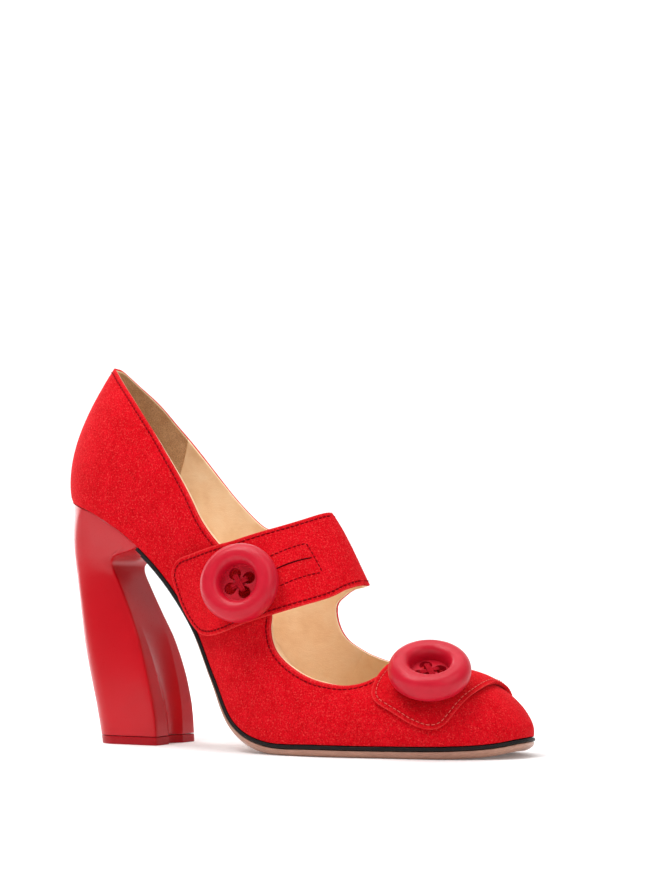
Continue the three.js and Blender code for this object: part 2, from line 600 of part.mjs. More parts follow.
// A channel up the heel's breast, with a round bottom. It gets shallower and wider as it goes up.
const GROOVE_SHALLOWEST = 0.15;
const GROOVE_ROOM = 10; // how far the cutter stands out in front of the breast
function heelGroove() {
  const rows = steps(9, (u) => {
    const z = GROOVE_TOP * (1 - u) - u; // ends a little under the ground
    const half = GROOVE_TOP_HALF_WIDTH + (GROOVE_HALF_WIDTH - GROOVE_TOP_HALF_WIDTH) * u;
    const depth = GROOVE_SHALLOWEST + (GROOVE_DEPTH - GROOVE_SHALLOWEST) * u;
    const radius = (half * half + depth * depth) / (2 * depth);
    const front = heelFront(z / HEEL_HEIGHT) * SHOE_LENGTH;
    const bottom = steps(10, (v) => {
      const y = half * (2 * v - 1);
      return [front + radius - depth - Math.sqrt(radius * radius - y * y), y, z];
    });
    return [...bottom, [front + GROOVE_ROOM, half, z], [front + GROOVE_ROOM, -half, z]];
  });
  return loft(rows);
}

function planBlock() {
  const sides = (side) => ALONG.map((t) => solePoint(side, t, 0, 0));
  const outline = [...sides(-1), ...sides(1).reverse().slice(1, -1)];
  const shape = new THREE.Shape(outline.map(([x, y]) => new THREE.Vector2(x, y)));
  return solidOfGeometry(new THREE.ExtrudeGeometry(shape, { depth: 2 * HEEL_HEIGHT, bevelEnabled: false }));
}

const heelWhole = loft(HEEL_LEVELS.map(heelRow)).intersect(planBlock()).subtract(heelGroove());
const heelSpan = (z0, z1) => box(-SHOE_LENGTH, SHOE_LENGTH, -BALL_WIDTH, BALL_WIDTH, z0, z1);
const PINS = [["top_piece_pin_rear", 0.085], ["top_piece_pin_front", 0.145]];
const PIN_FROM = 1.2;
const PIN_TO = 15;
const pinAt = (along, grow) => placed(rod(PIN_DIAMETER / 2 + grow, PIN_FROM - grow, PIN_TO + grow),
  [along * SHOE_LENGTH, 0, 0], [0, 0, 1]);
const pinHoles = PINS.map(([, along]) => pinAt(along, GAP));
const topPiece = cutAll(heelWhole.intersect(heelSpan(0, TOP_PIECE)), pinHoles);
const SOLE_ROOM = 4; // cut from the heel's front, above and below the last's bottom, for the sole's end
const soleRoom = soleLayer({
  from: SEAT_FRONT - 2 * seamGap, margin: same(-SOLE_ROOM / 2), low: same(-SOLE_ROOM), high: same(SOLE_ROOM),
});
// Everything above the seat, with the gap under the upper.
function aboveSeat() {
  const seat = within(0, 0.4).map((t) => {
    const [x, , z] = solePoint(1, t, 0, -GAP);
    return [x, z];
  });
  const [back, front] = [seat[0], seat.at(-1)];
  const slope = (seat[1][1] - back[1]) / (seat[1][0] - back[0]);
  const reach = 30;
  const outline = [
    [back[0] - reach, back[1] - slope * reach], ...seat, [front[0], 2 * HEEL_HEIGHT],
    [back[0] - reach, 2 * HEEL_HEIGHT]];
  return sideBlock(outline, -1).add(sideBlock(outline, 1));
}

const heelBlock = cutAll(
  heelWhole.intersect(heelSpan(TOP_PIECE + GAP, 2 * HEEL_HEIGHT)),
  [aboveSeat(), soleRoom, ...pinHoles, ...seatFasteners]);

// ---------------------------------------------------------------- straps
const smooth = (u) => {
  const c = Math.min(1, Math.max(0, u));
  return c * c * (3 - 2 * c);
};
const RISE_FULL = 0.6; // girth below which the strap lies at its full height above the quarter
const RISE_NONE = 0.96; // girth where it has come down level with the upper
const strapRise = (girth) => STRAP_RISE * smooth((RISE_NONE - girth) / (RISE_NONE - RISE_FULL));

// Places along a strap, close together where it crosses the ridge at the share crest of its edges.
const towardsCrest = (n, crest) => [
  ...steps(n, (u) => crest * (1 - (1 - u) ** 2)),
  ...(crest < 1 ? steps(n, (u) => crest + (1 - crest) * u ** 2).slice(1) : []),
];

// A grid over a strap between its two edges, from its free end along to its far end.
function bandGrid(edgeA, edgeB, along, across, bow = 0) {
  const [a, b] = [curveOf(edgeA), curveOf(edgeB)];
  return along.map((u) => steps(across, (v) => {
    const [p, q] = [a(u), b(u)];
    const pull = bow * 4 * v * (1 - v) * (1 - u) ** BOW_FADE;
    return [p[0] + (q[0] - p[0]) * v, p[1] + (q[1] - p[1]) * v - pull];
  }));
}
const bandSheet = (grid, outer, inner) => sheet(
  grid.map((row) => row.map(([t, g]) => lastPoint(t, g, outer(g)))),
  grid.map((row) => row.map(([t, g]) => lastPoint(t, g, inner(g)))));

const CREST_ROOM = box(-SHOE_LENGTH, 2 * SHOE_LENGTH, -GAP, BALL_WIDTH, 0, 3 * HEEL_HEIGHT);
const strapGrid = bandGrid(STRAP_TOP_EDGE, STRAP_LOW_EDGE, towardsCrest(12, 1), 5, STRAP_END_BOW);
const strapLiningDepth = SUEDE + GAP;
const strapSheet = bandSheet(strapGrid, (g) => -strapRise(g), (g) => SUEDE - strapRise(g))
  .subtract(CREST_ROOM);
const strapLiningSheet = bandSheet(
  strapGrid, (g) => strapLiningDepth - strapRise(g), (g) => strapLiningDepth + LINING - strapRise(g))
  .subtract(CREST_ROOM);

const VAMP_CREST = 3 / 7; // where both edges cross the ridge
const VAMP_LIFT = 0.6; // between the toe strap and the upper
const vampGrid = bandGrid(VAMP_STRAP_REAR, VAMP_STRAP_FRONT, towardsCrest(8, VAMP_CREST), 5);
const vampStrapSheet = bandSheet(vampGrid, same(-VAMP_LIFT - SUEDE), same(-VAMP_LIFT));

// ---------------------------------------------------------------- buttons, their thread and the snap
// The direction that a button on the strap at (t, g) faces, taken over a button's width.
function seatNormal([t, g]) {
  const [wideT, wideG] = [0.045, 0.12];
  const pick = (a, b) => new THREE.Vector3(...lastPoint(t + a, Math.min(1.9, g + b)));
  const along = pick(wideT, 0).sub(pick(-wideT, 0));
  const up = pick(0, wideG).sub(pick(0, -wideG));
  const normal = along.cross(up).normalize();
  return (g <= 1 && normal.y > 0 ? normal.negate() : normal).toArray();
}
const standing = (place, normal, up) => place.map((value, k) => value + normal[k] * up);

const BUTTON_ARC_STEPS = 13;
const WEB_LOW = 2.2;
function buttonSolid() {
  const outer = BUTTON_DIAMETER / 2;
  const inner = BUTTON_HOLE / 2;
  const [middle, wide, tall] = [(outer + inner) / 2, (outer - inner) / 2, BUTTON_THICKNESS / 2];
  const angleAt = (z) => Math.asin((z - tall) / tall);
  const from = Math.PI - angleAt(WEB_LOW + BUTTON_WEB);
  const to = -Math.PI - angleAt(WEB_LOW);
  const ring = steps(BUTTON_ARC_STEPS, (u) => {
    const a = from + (to - from) * u;
    return [middle + wide * Math.cos(a), tall + tall * Math.sin(a)];
  });
  let button = turned([[0, WEB_LOW + BUTTON_WEB], ...ring, [0, WEB_LOW]], 24);
  for (const a of THREAD_HOLES)
    button = button.subtract(placed(rod(THREAD_HOLE / 2, 0, BUTTON_THICKNESS),
      [THREAD_HOLE_RADIUS * Math.cos(a), THREAD_HOLE_RADIUS * Math.sin(a), 0], [0, 0, 1]));
  return button;
}

const STEM_RADIUS = 1.6;
const STEM_TOP = 0.6;
const SHANK_RADIUS = THREAD_HOLE_RADIUS - THREAD / 2;
const THREAD_TOP = WEB_LOW + BUTTON_WEB + GAP;
// The cross of thread over the web, its four legs down the holes, and the stem that they wind into.
function threadSolid(stemEnd) {
  let thread = rod(STEM_RADIUS, stemEnd, STEM_TOP).add(rod(SHANK_RADIUS + THREAD / 2, GAP, WEB_LOW - GAP));
  for (const a of THREAD_HOLES) {
    const [c, s] = [Math.cos(a), Math.sin(a)];
    const leg = placed(rod(THREAD / 2, 1, THREAD_TOP + THREAD / 2, 8),
      [SHANK_RADIUS * c, SHANK_RADIUS * s, 0], [0, 0, 1]);
    const arm = placed(rod(THREAD / 2, -THREAD / 4, SHANK_RADIUS + THREAD / 3, 8),
      [0, 0, THREAD_TOP + THREAD / 2], [c, s, 0]);
    thread = thread.add(leg).add(arm);
  }
  return thread;
}

// The instep button leans a little towards the toe.
const strapButtonNormal = new THREE.Vector3(...seatNormal(STRAP_BUTTON_AT))
  .add(new THREE.Vector3(STRAP_BUTTON_LEAN, 0, 0)).normalize().toArray();
const strapSurface = lastPoint(...STRAP_BUTTON_AT, -strapRise(STRAP_BUTTON_AT[1]));
const strapButtonSeat = standing(strapSurface, strapButtonNormal, BUTTON_STAND);
const vampButtonNormal = seatNormal(VAMP_BUTTON_AT);
const vampSurface = lastPoint(...VAMP_BUTTON_AT, -VAMP_LIFT - SUEDE);
const vampButtonSeat = standing(vampSurface, vampButtonNormal, BUTTON_STAND);
const stemEnd = -BUTTON_STAND - SUEDE;
const stemHole = rod(STEM_RADIUS + GAP, -3 * SUEDE, 2 * SUEDE);

const snapAxis = seatNormal(SNAP_AT);
const snapSeat = lastPoint(...SNAP_AT);
const SNAP_FLANGE = 0.6;
const SNAP_EASE = 0.15; // the upper is curved under the snap's flat flange
const liningTop = STRAP_RISE - SUEDE - GAP;
function snapStud() {
  const [flange, post] = [SNAP_DIAMETER / 2, SNAP_POST / 2];
  const base = GAP + SNAP_EASE;
  return placed(turned([
    [0, base], [flange, base], [flange, base + SNAP_FLANGE], [post, base + SNAP_FLANGE],
    [post, liningTop - GAP], [0, liningTop - GAP]], 16), snapSeat, snapAxis);
}
const socketLow = GAP + SNAP_EASE + SNAP_FLANGE + GAP;
function snapSocket() {
  const [outer, inner] = [SNAP_DIAMETER / 2, SNAP_POST / 2 + GAP];
  return placed(solidOfGeometry(new THREE.LatheGeometry([
    [inner, socketLow], [outer, socketLow], [outer, liningTop], [inner, liningTop], [inner, socketLow]]
    .map(([r, z]) => new THREE.Vector2(r, z)), 16).rotateX(Math.PI / 2)), snapSeat, snapAxis);
}
const snapHole = placed(rod(SNAP_DIAMETER / 2 + GAP, 0, STRAP_RISE), snapSeat, snapAxis);

const instepStrap = strapSheet.subtract(placed(stemHole, strapSurface, strapButtonNormal));
const strapLining = strapLiningSheet.subtract(snapHole);
const vampStrap = vampStrapSheet.subtract(placed(stemHole, vampSurface, vampButtonNormal));

// ---------------------------------------------------------------- materials and assembly
const FINISHES = {
  suede: { color: 0xc8161d, roughness: 0.95, metalness: 0 },
  lacquer: { color: 0xb3121b, roughness: 0.12, metalness: 0 },
  plastic: { color: 0xc41c2b, roughness: 0.35, metalness: 0 },
  thread: { color: 0x9c1018, roughness: 0.9, metalness: 0 },
  kid: { color: 0xd9a878, roughness: 0.55, metalness: 0 },
  grip: { color: 0xa9814f, roughness: 0.95, metalness: 0 },
  canvas: { color: 0xcfc5ae, roughness: 0.95, metalness: 0 },
  fibreboard: { color: 0x9a7b56, roughness: 0.9, metalness: 0 },
  foam: { color: 0xe8ddc4, roughness: 1, metalness: 0 },
  steel: { color: 0x9a9ca0, roughness: 0.35, metalness: 1 },
  sole_leather: { color: 0xc98d6f, roughness: 0.45, metalness: 0 },
  black_edge: { color: 0x141212, roughness: 0.4, metalness: 0 },
  gold: { color: 0xc9a452, roughness: 0.3, metalness: 1 },
};
const shoe = new THREE.Group();
function add(name, solid, finish) {
  const mesh = new THREE.Mesh(geometryOf(solid), new THREE.MeshStandardMaterial(FINISHES[finish]));
  mesh.name = name;
  shoe.add(mesh);
}

add("suede_upper", suedeUpperWhole, "suede");
add("interlining", interlining, "canvas");
add("heel_counter", heelCounter, "fibreboard");
add("toe_puff", toePuff, "fibreboard");
add("vamp_lining", vampLining, "kid");
add("outer_quarter_lining", quarterLinings.intersect(outerSide), "kid");
add("inner_quarter_lining", quarterLinings.intersect(innerSide), "kid");
add("heel_grip", heelGrip, "grip");
add("insole_board", insoleBoard, "fibreboard");
add("steel_shank", steelShank, "steel");
for (const [name, t] of RIVETS) add(name, rivetAt(t, 0), "steel");
add("bottom_filler", bottomFiller, "foam");
add("footbed_foam", footbedFoam, "foam");
add("sock_lining", sockLining, "kid");
add("sole_rand", soleRand, "black_edge");
add("outsole", outsole, "sole_leather");
add("sole_plate", solePlate(), "gold");
add("heel_block", heelBlock, "lacquer");
add("heel_top_piece", topPiece, "plastic");
for (const [name, along] of PINS) add(name, pinAt(along, 0), "steel");
add("heel_screw", screwAt(0), "steel");
for (const [name, t, y] of NAILS) add(name, nailAt(t, y, 0), "steel");
add("instep_strap", instepStrap, "suede");
add("instep_strap_lining", strapLining, "kid");
add("strap_button", placed(buttonSolid(), strapButtonSeat, strapButtonNormal), "plastic");
add("strap_button_thread", placed(threadSolid(stemEnd), strapButtonSeat, strapButtonNormal), "thread");
add("snap_stud", snapStud(), "steel");
add("snap_socket", snapSocket(), "steel");
add("vamp_strap", vampStrap, "suede");
add("vamp_button", placed(buttonSolid(), vampButtonSeat, vampButtonNormal), "plastic");
add("vamp_button_thread", placed(threadSolid(stemEnd), vampButtonSeat, vampButtonNormal), "thread");

// The part's origin is under the middle of its bounding box, on the ground.
const bounds = new THREE.Box3().setFromObject(shoe);
shoe.position.set(-(bounds.min.x + bounds.max.x) / 2, -(bounds.min.y + bounds.max.y) / 2, -bounds.min.z);

export default shoe;
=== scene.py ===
# Looks of the high heel pump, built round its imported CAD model. The shoe's own curves are in millimetres in
# the same design axes as the CAD source (+X to the toe, +Y to the inner side, +Z up) and are then moved into
# the frame, which is in metres.
import math

import bmesh
import bpy
import numpy as np
from mathutils import Matrix, Vector, kdtree


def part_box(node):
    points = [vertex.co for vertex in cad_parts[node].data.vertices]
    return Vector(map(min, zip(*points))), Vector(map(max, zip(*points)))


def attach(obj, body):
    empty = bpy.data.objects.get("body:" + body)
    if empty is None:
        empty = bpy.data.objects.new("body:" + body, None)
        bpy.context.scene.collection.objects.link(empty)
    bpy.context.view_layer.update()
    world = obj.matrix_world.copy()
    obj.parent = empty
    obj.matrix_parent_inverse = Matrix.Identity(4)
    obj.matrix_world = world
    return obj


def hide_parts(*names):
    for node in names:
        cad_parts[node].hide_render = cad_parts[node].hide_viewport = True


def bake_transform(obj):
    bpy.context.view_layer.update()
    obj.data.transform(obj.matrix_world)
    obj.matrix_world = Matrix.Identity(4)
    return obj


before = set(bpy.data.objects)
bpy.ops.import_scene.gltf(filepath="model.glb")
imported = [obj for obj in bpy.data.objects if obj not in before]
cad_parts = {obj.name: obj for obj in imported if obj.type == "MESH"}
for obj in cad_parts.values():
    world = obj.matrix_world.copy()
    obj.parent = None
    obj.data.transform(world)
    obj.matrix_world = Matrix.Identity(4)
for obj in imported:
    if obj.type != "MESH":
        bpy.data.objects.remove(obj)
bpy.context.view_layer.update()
MM = 0.001
rng = np.random.default_rng(7)

# ------------------------------------------------------------------ dimensions shared with the CAD model
SHOE_LENGTH = 214.5
HEEL_HEIGHT = 105.0
BALL_WIDTH = 75.0
FEATHER_HEIGHT = 4.8
GAP = 0.3
HEEL_ROUND = 0.17
TOE_ROUND = 0.86
TOE_POWER = 2.5
BACK_CURVE = 7.5
BACK_CURVE_REACH = 0.2
SUEDE = 1.0
RAND = 1.3
EDGE_OUT = 0.3
SEAT_FRONT = 0.25
OUTSOLE_BALL = 2.9
OUTSOLE_WAIST = 1.0
OUTSOLE_BEVEL = 3.5
GROUND_FLAT = 0.3
TOP_PIECE = 3.4
STRAP_RISE = 3.4
RISE_FULL, RISE_NONE = 0.6, 0.96
VAMP_LIFT = 0.6
BUTTON_STAND = 1.6
STRAP_BUTTON_AT = (0.495, 0.5)
VAMP_BUTTON_AT = (0.865, 0.8)
STRAP_BUTTON_LEAN = 0.2
GRIP_SEAM = 0.142
VAMP_LINING_SEAM = 0.64

# Stations of the last: t, along, rise, lean, height, outer, inner, full, bulge.
STATIONS = np.array([
    (0.00, -0.030, 1.000, 19.5, 61.5, 0.330, 0.330, 3.0, 0.06),
    (0.15, 0.103, 0.900, 23.0, 57.5, 0.330, 0.330, 2.8, 0.08),
    (0.30, 0.219, 0.703, 33.0, 55.0, 0.290, 0.280, 2.6, 0.20),
    (0.42, 0.298, 0.468, 43.0, 57.5, 0.250, 0.240, 2.5, 0.48),
    (0.52, 0.366, 0.243, 43.5, 63.0, 0.330, 0.280, 2.5, 0.28),
    (0.60, 0.427, 0.073, 41.5, 59.0, 0.420, 0.360, 2.5, 0.10),
    (0.68, 0.508, 0.004, 33.0, 46.3, 0.487, 0.447, 2.5, 0.04),
    (0.76, 0.620, 0.000, 17.5, 32.2, 0.507, 0.493, 2.5, 0.03),
    (0.85, 0.760, 0.000, 8.0, 28.6, 0.433, 0.467, 2.3, 0.03),
    (0.92, 0.860, 0.004, 2.0, 24.1, 0.380, 0.400, 2.2, 0.03),
    (0.97, 0.924, 0.014, 0.5, 15.3, 0.350, 0.365, 2.1, 0.03),
    (1.00, 0.958, 0.030, 1.0, 4.7, 0.335, 0.345, 2.0, 0.03),
])
# Levels of the heel: share of its height, back and front as shares of the shoe's length, and half-widths at
# the back and the front as shares of the ball width.
HEEL_LEVELS = np.array([
    (0.000, 0.050, 0.206, 0.200, 0.206), (0.090, 0.041, 0.203, 0.200, 0.208),
    (0.160, 0.033, 0.198, 0.200, 0.211), (0.260, 0.020, 0.186, 0.197, 0.212),
    (0.340, 0.010, 0.174, 0.193, 0.205), (0.430, 0.000, 0.158, 0.188, 0.192),
    (0.530, -0.009, 0.134, 0.183, 0.172), (0.630, -0.017, 0.109, 0.180, 0.164),
    (0.700, -0.022, 0.092, 0.183, 0.163), (0.728, -0.024, 0.090, 0.187, 0.166),
    (0.752, -0.026, 0.100, 0.192, 0.190), (0.766, -0.027, 0.122, 0.197, 0.225),
    (0.776, -0.028, 0.150, 0.203, 0.270), (0.790, -0.029, 0.180, 0.210, 0.310),
    (0.870, -0.034, 0.180, 0.255, 0.345), (0.950, -0.038, 0.180, 0.305, 0.350),
    (1.020, -0.041, 0.180, 0.340, 0.350),
])
# Outlines on the last, as (t, girth). Those of the inner side are given as heights and mirrored.
OUTER_OPENING = [
    (0, 0.945), (0.022, 0.935), (0.09, 0.85), (0.168, 0.73), (0.236, 0.62), (0.307, 0.52), (0.344, 0.475),
    (0.383, 0.465), (0.43, 0.485), (0.5, 0.53), (0.55, 0.55), (0.569, 0.505), (0.588, 0.48), (0.613, 0.48),
    (0.65, 0.51), (0.694, 0.56), (0.731, 0.63), (0.753, 0.69), (0.769, 0.77), (0.776, 0.87), (0.772, 0.95),
    (0.762, 1),
]
INNER_TOPLINE = [
    (0, 0.945), (0.01, 0.94), (0.041, 0.88), (0.081, 0.8), (0.125, 0.69), (0.175, 0.6), (0.234, 0.53),
    (0.292, 0.49), (0.349, 0.49), (0.38, 0.54), (0.41, 0.62), (0.44, 0.74), (0.465, 0.86), (0.497, 1),
]
INNER_THROAT = [
    (0.617, 1), (0.6, 0.92), (0.575, 0.79), (0.56, 0.67), (0.556, 0.61), (0.562, 0.57), (0.578, 0.54),
    (0.601, 0.54), (0.628, 0.57), (0.655, 0.61), (0.694, 0.69), (0.73, 0.8), (0.762, 1),
]
STRAP_TOP_EDGE = [
    (0.345, 0.16), (0.354, 0.23), (0.376, 0.34), (0.403, 0.48), (0.424, 0.58), (0.453, 0.74), (0.479, 0.89),
    (0.497, 1),
]
STRAP_LOW_EDGE = [
    (0.481, 0.14), (0.505, 0.25), (0.522, 0.34), (0.557, 0.54), (0.584, 0.71), (0.606, 0.86), (0.613, 0.95),
    (0.617, 1),
]
STRAP_END_BOW = 0.08
VAMP_STRAP_REAR = [
    (0.8, 0.58), (0.79, 0.7), (0.778, 0.85), (0.768, 1), (0.768, 1.2), (0.775, 1.45), (0.785, 1.7),
    (0.79, 1.96),
]
VAMP_STRAP_FRONT = [
    (0.899, 0.22), (0.912, 0.4), (0.924, 0.7), (0.936, 1), (0.934, 1.25), (0.926, 1.5), (0.915, 1.75),
    (0.905, 1.96),
]


# ------------------------------------------------------------------ the last
def through(knots, values):
    """A smooth curve through values at rising knots; values may have several columns."""
    k = np.asarray(knots, float)
    v = np.asarray(values, float)
    flat = v.ndim == 1
    v = v[:, None] if flat else v
    slope = np.diff(v, axis=0) / np.diff(k)[:, None]
    tangent = np.vstack([slope[:1], (slope[1:] + slope[:-1]) / 2, slope[-1:]])

    def curve(at):
        x = np.clip(np.asarray(at, float), k[0], k[-1])
        i = np.clip(np.searchsorted(k, x, side="right") - 1, 0, len(k) - 2)
        w = (k[i + 1] - k[i])[..., None]
        u = (x - k[i])[..., None] / w
        a = (2 * u**3 - 3 * u**2 + 1) * v[i] + (u**3 - 2 * u**2 + u) * w * tangent[i]
        b = (3 * u**2 - 2 * u**3) * v[i + 1] + (u**3 - u**2) * w * tangent[i + 1]
        return (a + b)[..., 0] if flat else a + b

    return curve


station = STATIONS[:, 0]
rise_of_feather = FEATHER_HEIGHT + STATIONS[:, 2] * (HEEL_HEIGHT - FEATHER_HEIGHT)
feather_x = through(station, STATIONS[:, 1] * SHOE_LENGTH)
feather_z = through(station, rise_of_feather)
ridge_x = through(station, STATIONS[:, 1] * SHOE_LENGTH + STATIONS[:, 3])
ridge_z = through(station, rise_of_feather + STATIONS[:, 4])
outer_half = through(station, STATIONS[:, 5] * BALL_WIDTH)
inner_half = through(station, STATIONS[:, 6] * BALL_WIDTH)
fullness = through(station, STATIONS[:, 7])
side_bulge = through(station, STATIONS[:, 8])
last_height = through(station, STATIONS[:, 4])


def plane_normal(curve_x, curve_z, t):
    """Unit normal of a curve in the upright middle plane, to its left as t rises."""
    step = 0.004
    a, b = np.clip(t - step, 0, 1), np.clip(t + step, 0, 1)
    dx, dz = curve_x(b) - curve_x(a), curve_z(b) - curve_z(a)
    length = np.hypot(dx, dz)
    return -dz / length, dx / length


def heel_end(t):
    return np.maximum(0, 1 - t / HEEL_ROUND)


def toe_end(t):
    return np.maximum(0, (t - TOE_ROUND) / (1 - TOE_ROUND))


def plan_round(t):
    toe = np.sqrt(np.maximum(0, 1 - toe_end(t) ** TOE_POWER))
    return np.sqrt(np.maximum(0, 1 - heel_end(t) ** 2)) * toe


def last_point(t, girth, inset=0.0):
    """Points on the last, moved in by inset. girth: 0 outer feather line, 1 ridge, 2 inner feather line."""
    t, girth, inset = np.broadcast_arrays(*(np.asarray(a, float) for a in (t, girth, inset)))
    t = np.clip(t, 0, 1)
    outer = girth <= 1
    h = np.where(outer, girth, 2 - girth)
    bx, bz = plane_normal(feather_x, feather_z, t)
    rx, rz = plane_normal(ridge_x, ridge_z, t)
    low_x, low_z = feather_x(t) + bx * inset, feather_z(t) + bz * inset
    high_x, high_z = ridge_x(t) - rx * inset, ridge_z(t) - rz * inset
    up = np.clip(h, 0, 1)
    fade = np.maximum(0, 1 - t / BACK_CURVE_REACH) ** 2
    back = BACK_CURVE * np.sin(np.pi * up ** 0.75) * fade
    push = inset * (heel_end(t) - toe_end(t))
    half = np.where(outer, outer_half(t), inner_half(t)) - inset
    section = np.sqrt(np.maximum(0, 1 - up ** fullness(t)))
    y = np.where(outer, -1, 1) * half * plan_round(t) * (1 + side_bulge(t) * np.sin(np.pi * h)) * section
    return np.stack([low_x + (high_x - low_x) * h - back + push, y, low_z + (high_z - low_z) * h], -1)


def sole_point(side, t, margin, level):
    """Points margin in from the feather line and level above the last's bottom."""
    t, margin, level = np.broadcast_arrays(*(np.asarray(a, float) for a in (t, margin, level)))
    nx, nz = plane_normal(feather_x, feather_z, t)
    half = np.maximum(0, (outer_half(t) if side < 0 else inner_half(t)) - margin)
    push = margin * (heel_end(t) - toe_end(t))
    across = side * half * plan_round(t)
    return np.stack([feather_x(t) + nx * level + push, across, feather_z(t) + nz * level], -1)


def smooth_step(u):
    c = np.clip(u, 0, 1)
    return c * c * (3 - 2 * c)


def strap_rise(girth):
    return STRAP_RISE * smooth_step((RISE_NONE - girth) / (RISE_NONE - RISE_FULL))


# The front of the heel's tread is at a known place in the design, so it shows where the frame's origin is.
tread_low, tread_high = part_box("heel_top_piece")
TREAD_FRONT = HEEL_LEVELS[0, 2] * SHOE_LENGTH
SHIFT = np.array([tread_high.x / MM - TREAD_FRONT, (tread_low.y + tread_high.y) / 2 / MM, 0.0])


# ------------------------------------------------------------------ even coordinates on the last
# s runs from the heel's back to the toe tip and r over the girth, both spread evenly over the surface, which
# t and girth are not where it turns over at the heel, the toe and the ridge.
HEEL_SHARE, TOE_SHARE = 0.16, 0.84
ALONG_MM, GIRTH_MM = 300.0, 66.0


def t_of(s):
    s = np.clip(s, 0, 1)
    heel = HEEL_ROUND * (1 - np.cos(np.pi / 2 * np.clip(s / HEEL_SHARE, 0, 1)))
    middle = HEEL_ROUND + (s - HEEL_SHARE) / (TOE_SHARE - HEEL_SHARE) * (TOE_ROUND - HEEL_ROUND)
    toe = TOE_ROUND + (1 - TOE_ROUND) * np.sin(np.pi / 2 * np.clip((s - TOE_SHARE) / (1 - TOE_SHARE), 0, 1))
    return np.where(s < HEEL_SHARE, heel, np.where(s > TOE_SHARE, toe, middle))


def s_of(t):
    t = np.clip(t, 0, 1)
    heel = HEEL_SHARE * 2 / np.pi * np.arccos(1 - np.clip(t / HEEL_ROUND, 0, 1))
    middle = HEEL_SHARE + (t - HEEL_ROUND) / (TOE_ROUND - HEEL_ROUND) * (TOE_SHARE - HEEL_SHARE)
    toe = TOE_SHARE + (1 - TOE_SHARE) * 2 / np.pi * np.arcsin(np.clip(toe_end(t), 0, 1))
    return np.where(t < HEEL_ROUND, heel, np.where(t > TOE_ROUND, toe, middle))


def girth_of(r):
    return np.where(r <= 1, 1 - (1 - r) ** 2, 1 + (r - 1) ** 2)


def r_of(girth):
    under, over = np.sqrt(np.maximum(0, 1 - girth)), np.sqrt(np.maximum(0, girth - 1))
    return np.where(girth <= 1, 1 - under, 1 + over)


def to_even(points):
    points = np.asarray(points, float)
    return np.stack([s_of(points[:, 0]), r_of(points[:, 1])], -1)


def on_last(s, r, inset=0.0):
    return last_point(t_of(s), girth_of(r), inset)


def outline(points, mirror=False, count=240):
    """An outline given as (t, height) points, as a dense curve in even coordinates."""
    curve = through(np.linspace(0, 1, len(points)), points)(np.linspace(0, 1, count))
    if mirror:
        curve[:, 1] = 2 - curve[:, 1]
    return to_even(curve)


# ------------------------------------------------------------------ meshes
def link(name, mesh):
    piece = bpy.data.objects.new(name, mesh)
    bpy.context.scene.collection.objects.link(piece)
    return piece


def mesh_piece(name, points, faces, merge=0.0):
    """A piece from design points in millimetres, in its place in the frame and shaded smooth."""
    mesh = bpy.data.meshes.new(name)
    placed = (np.asarray(points, float) + SHIFT) * MM
    mesh.from_pydata(placed.tolist(), [], [tuple(int(v) for v in face) for face in faces])
    bm = bmesh.new()
    bm.from_mesh(mesh)
    if merge:
        bmesh.ops.remove_doubles(bm, verts=bm.verts, dist=merge * MM)
    bmesh.ops.recalc_face_normals(bm, faces=bm.faces)
    for face in bm.faces:
        face.smooth = True
    bm.to_mesh(mesh)
    bm.free()
    return link(name, mesh)


def settle(piece):
    """Works the piece's modifiers into its mesh."""
    graph = bpy.context.evaluated_depsgraph_get()
    mesh = bpy.data.meshes.new_from_object(piece.evaluated_get(graph))
    piece.modifiers.clear()
    piece.data = mesh


def sharpen(piece, angle=42.0):
    """Keeps edges that turn by more than the angle crisp."""
    bm = bmesh.new()
    bm.from_mesh(piece.data)
    for edge in bm.edges:
        edge.smooth = edge.calc_face_angle(0) < math.radians(angle)
    for face in bm.faces:
        face.smooth = True
    bm.to_mesh(piece.data)
    bm.free()
    return piece


def bevel(piece, width, segments=2, angle=50.0):
    modifier = piece.modifiers.new("bevel", "BEVEL")
    modifier.width = width * MM
    modifier.segments = segments
    modifier.limit_method = "ANGLE"
    modifier.angle_limit = math.radians(angle)
    settle(piece)


def quads(rows, cols, wrap=False):
    """Faces of a grid of rows by cols points; wrap joins each row's last point to its first."""
    faces = []
    for i in range(rows - 1):
        for j in range(cols if wrap else cols - 1):
            k = (j + 1) % cols
            faces.append((i * cols + j, i * cols + k, (i + 1) * cols + k, (i + 1) * cols + j))
    return faces


def ring_loft(name, rings, merge=0.001):
    """A closed piece through rings of points, with flat ends."""
    rings = np.asarray(rings, float)
    rows, cols = rings.shape[:2]
    faces = quads(rows, cols, wrap=True)
    faces += [tuple(range(cols)), tuple(reversed(range((rows - 1) * cols, rows * cols)))]
    return mesh_piece(name, rings.reshape(-1, 3), faces, merge)


ASKEW = [0.31, 0.17, 0.93]  # a direction that no strand starts along


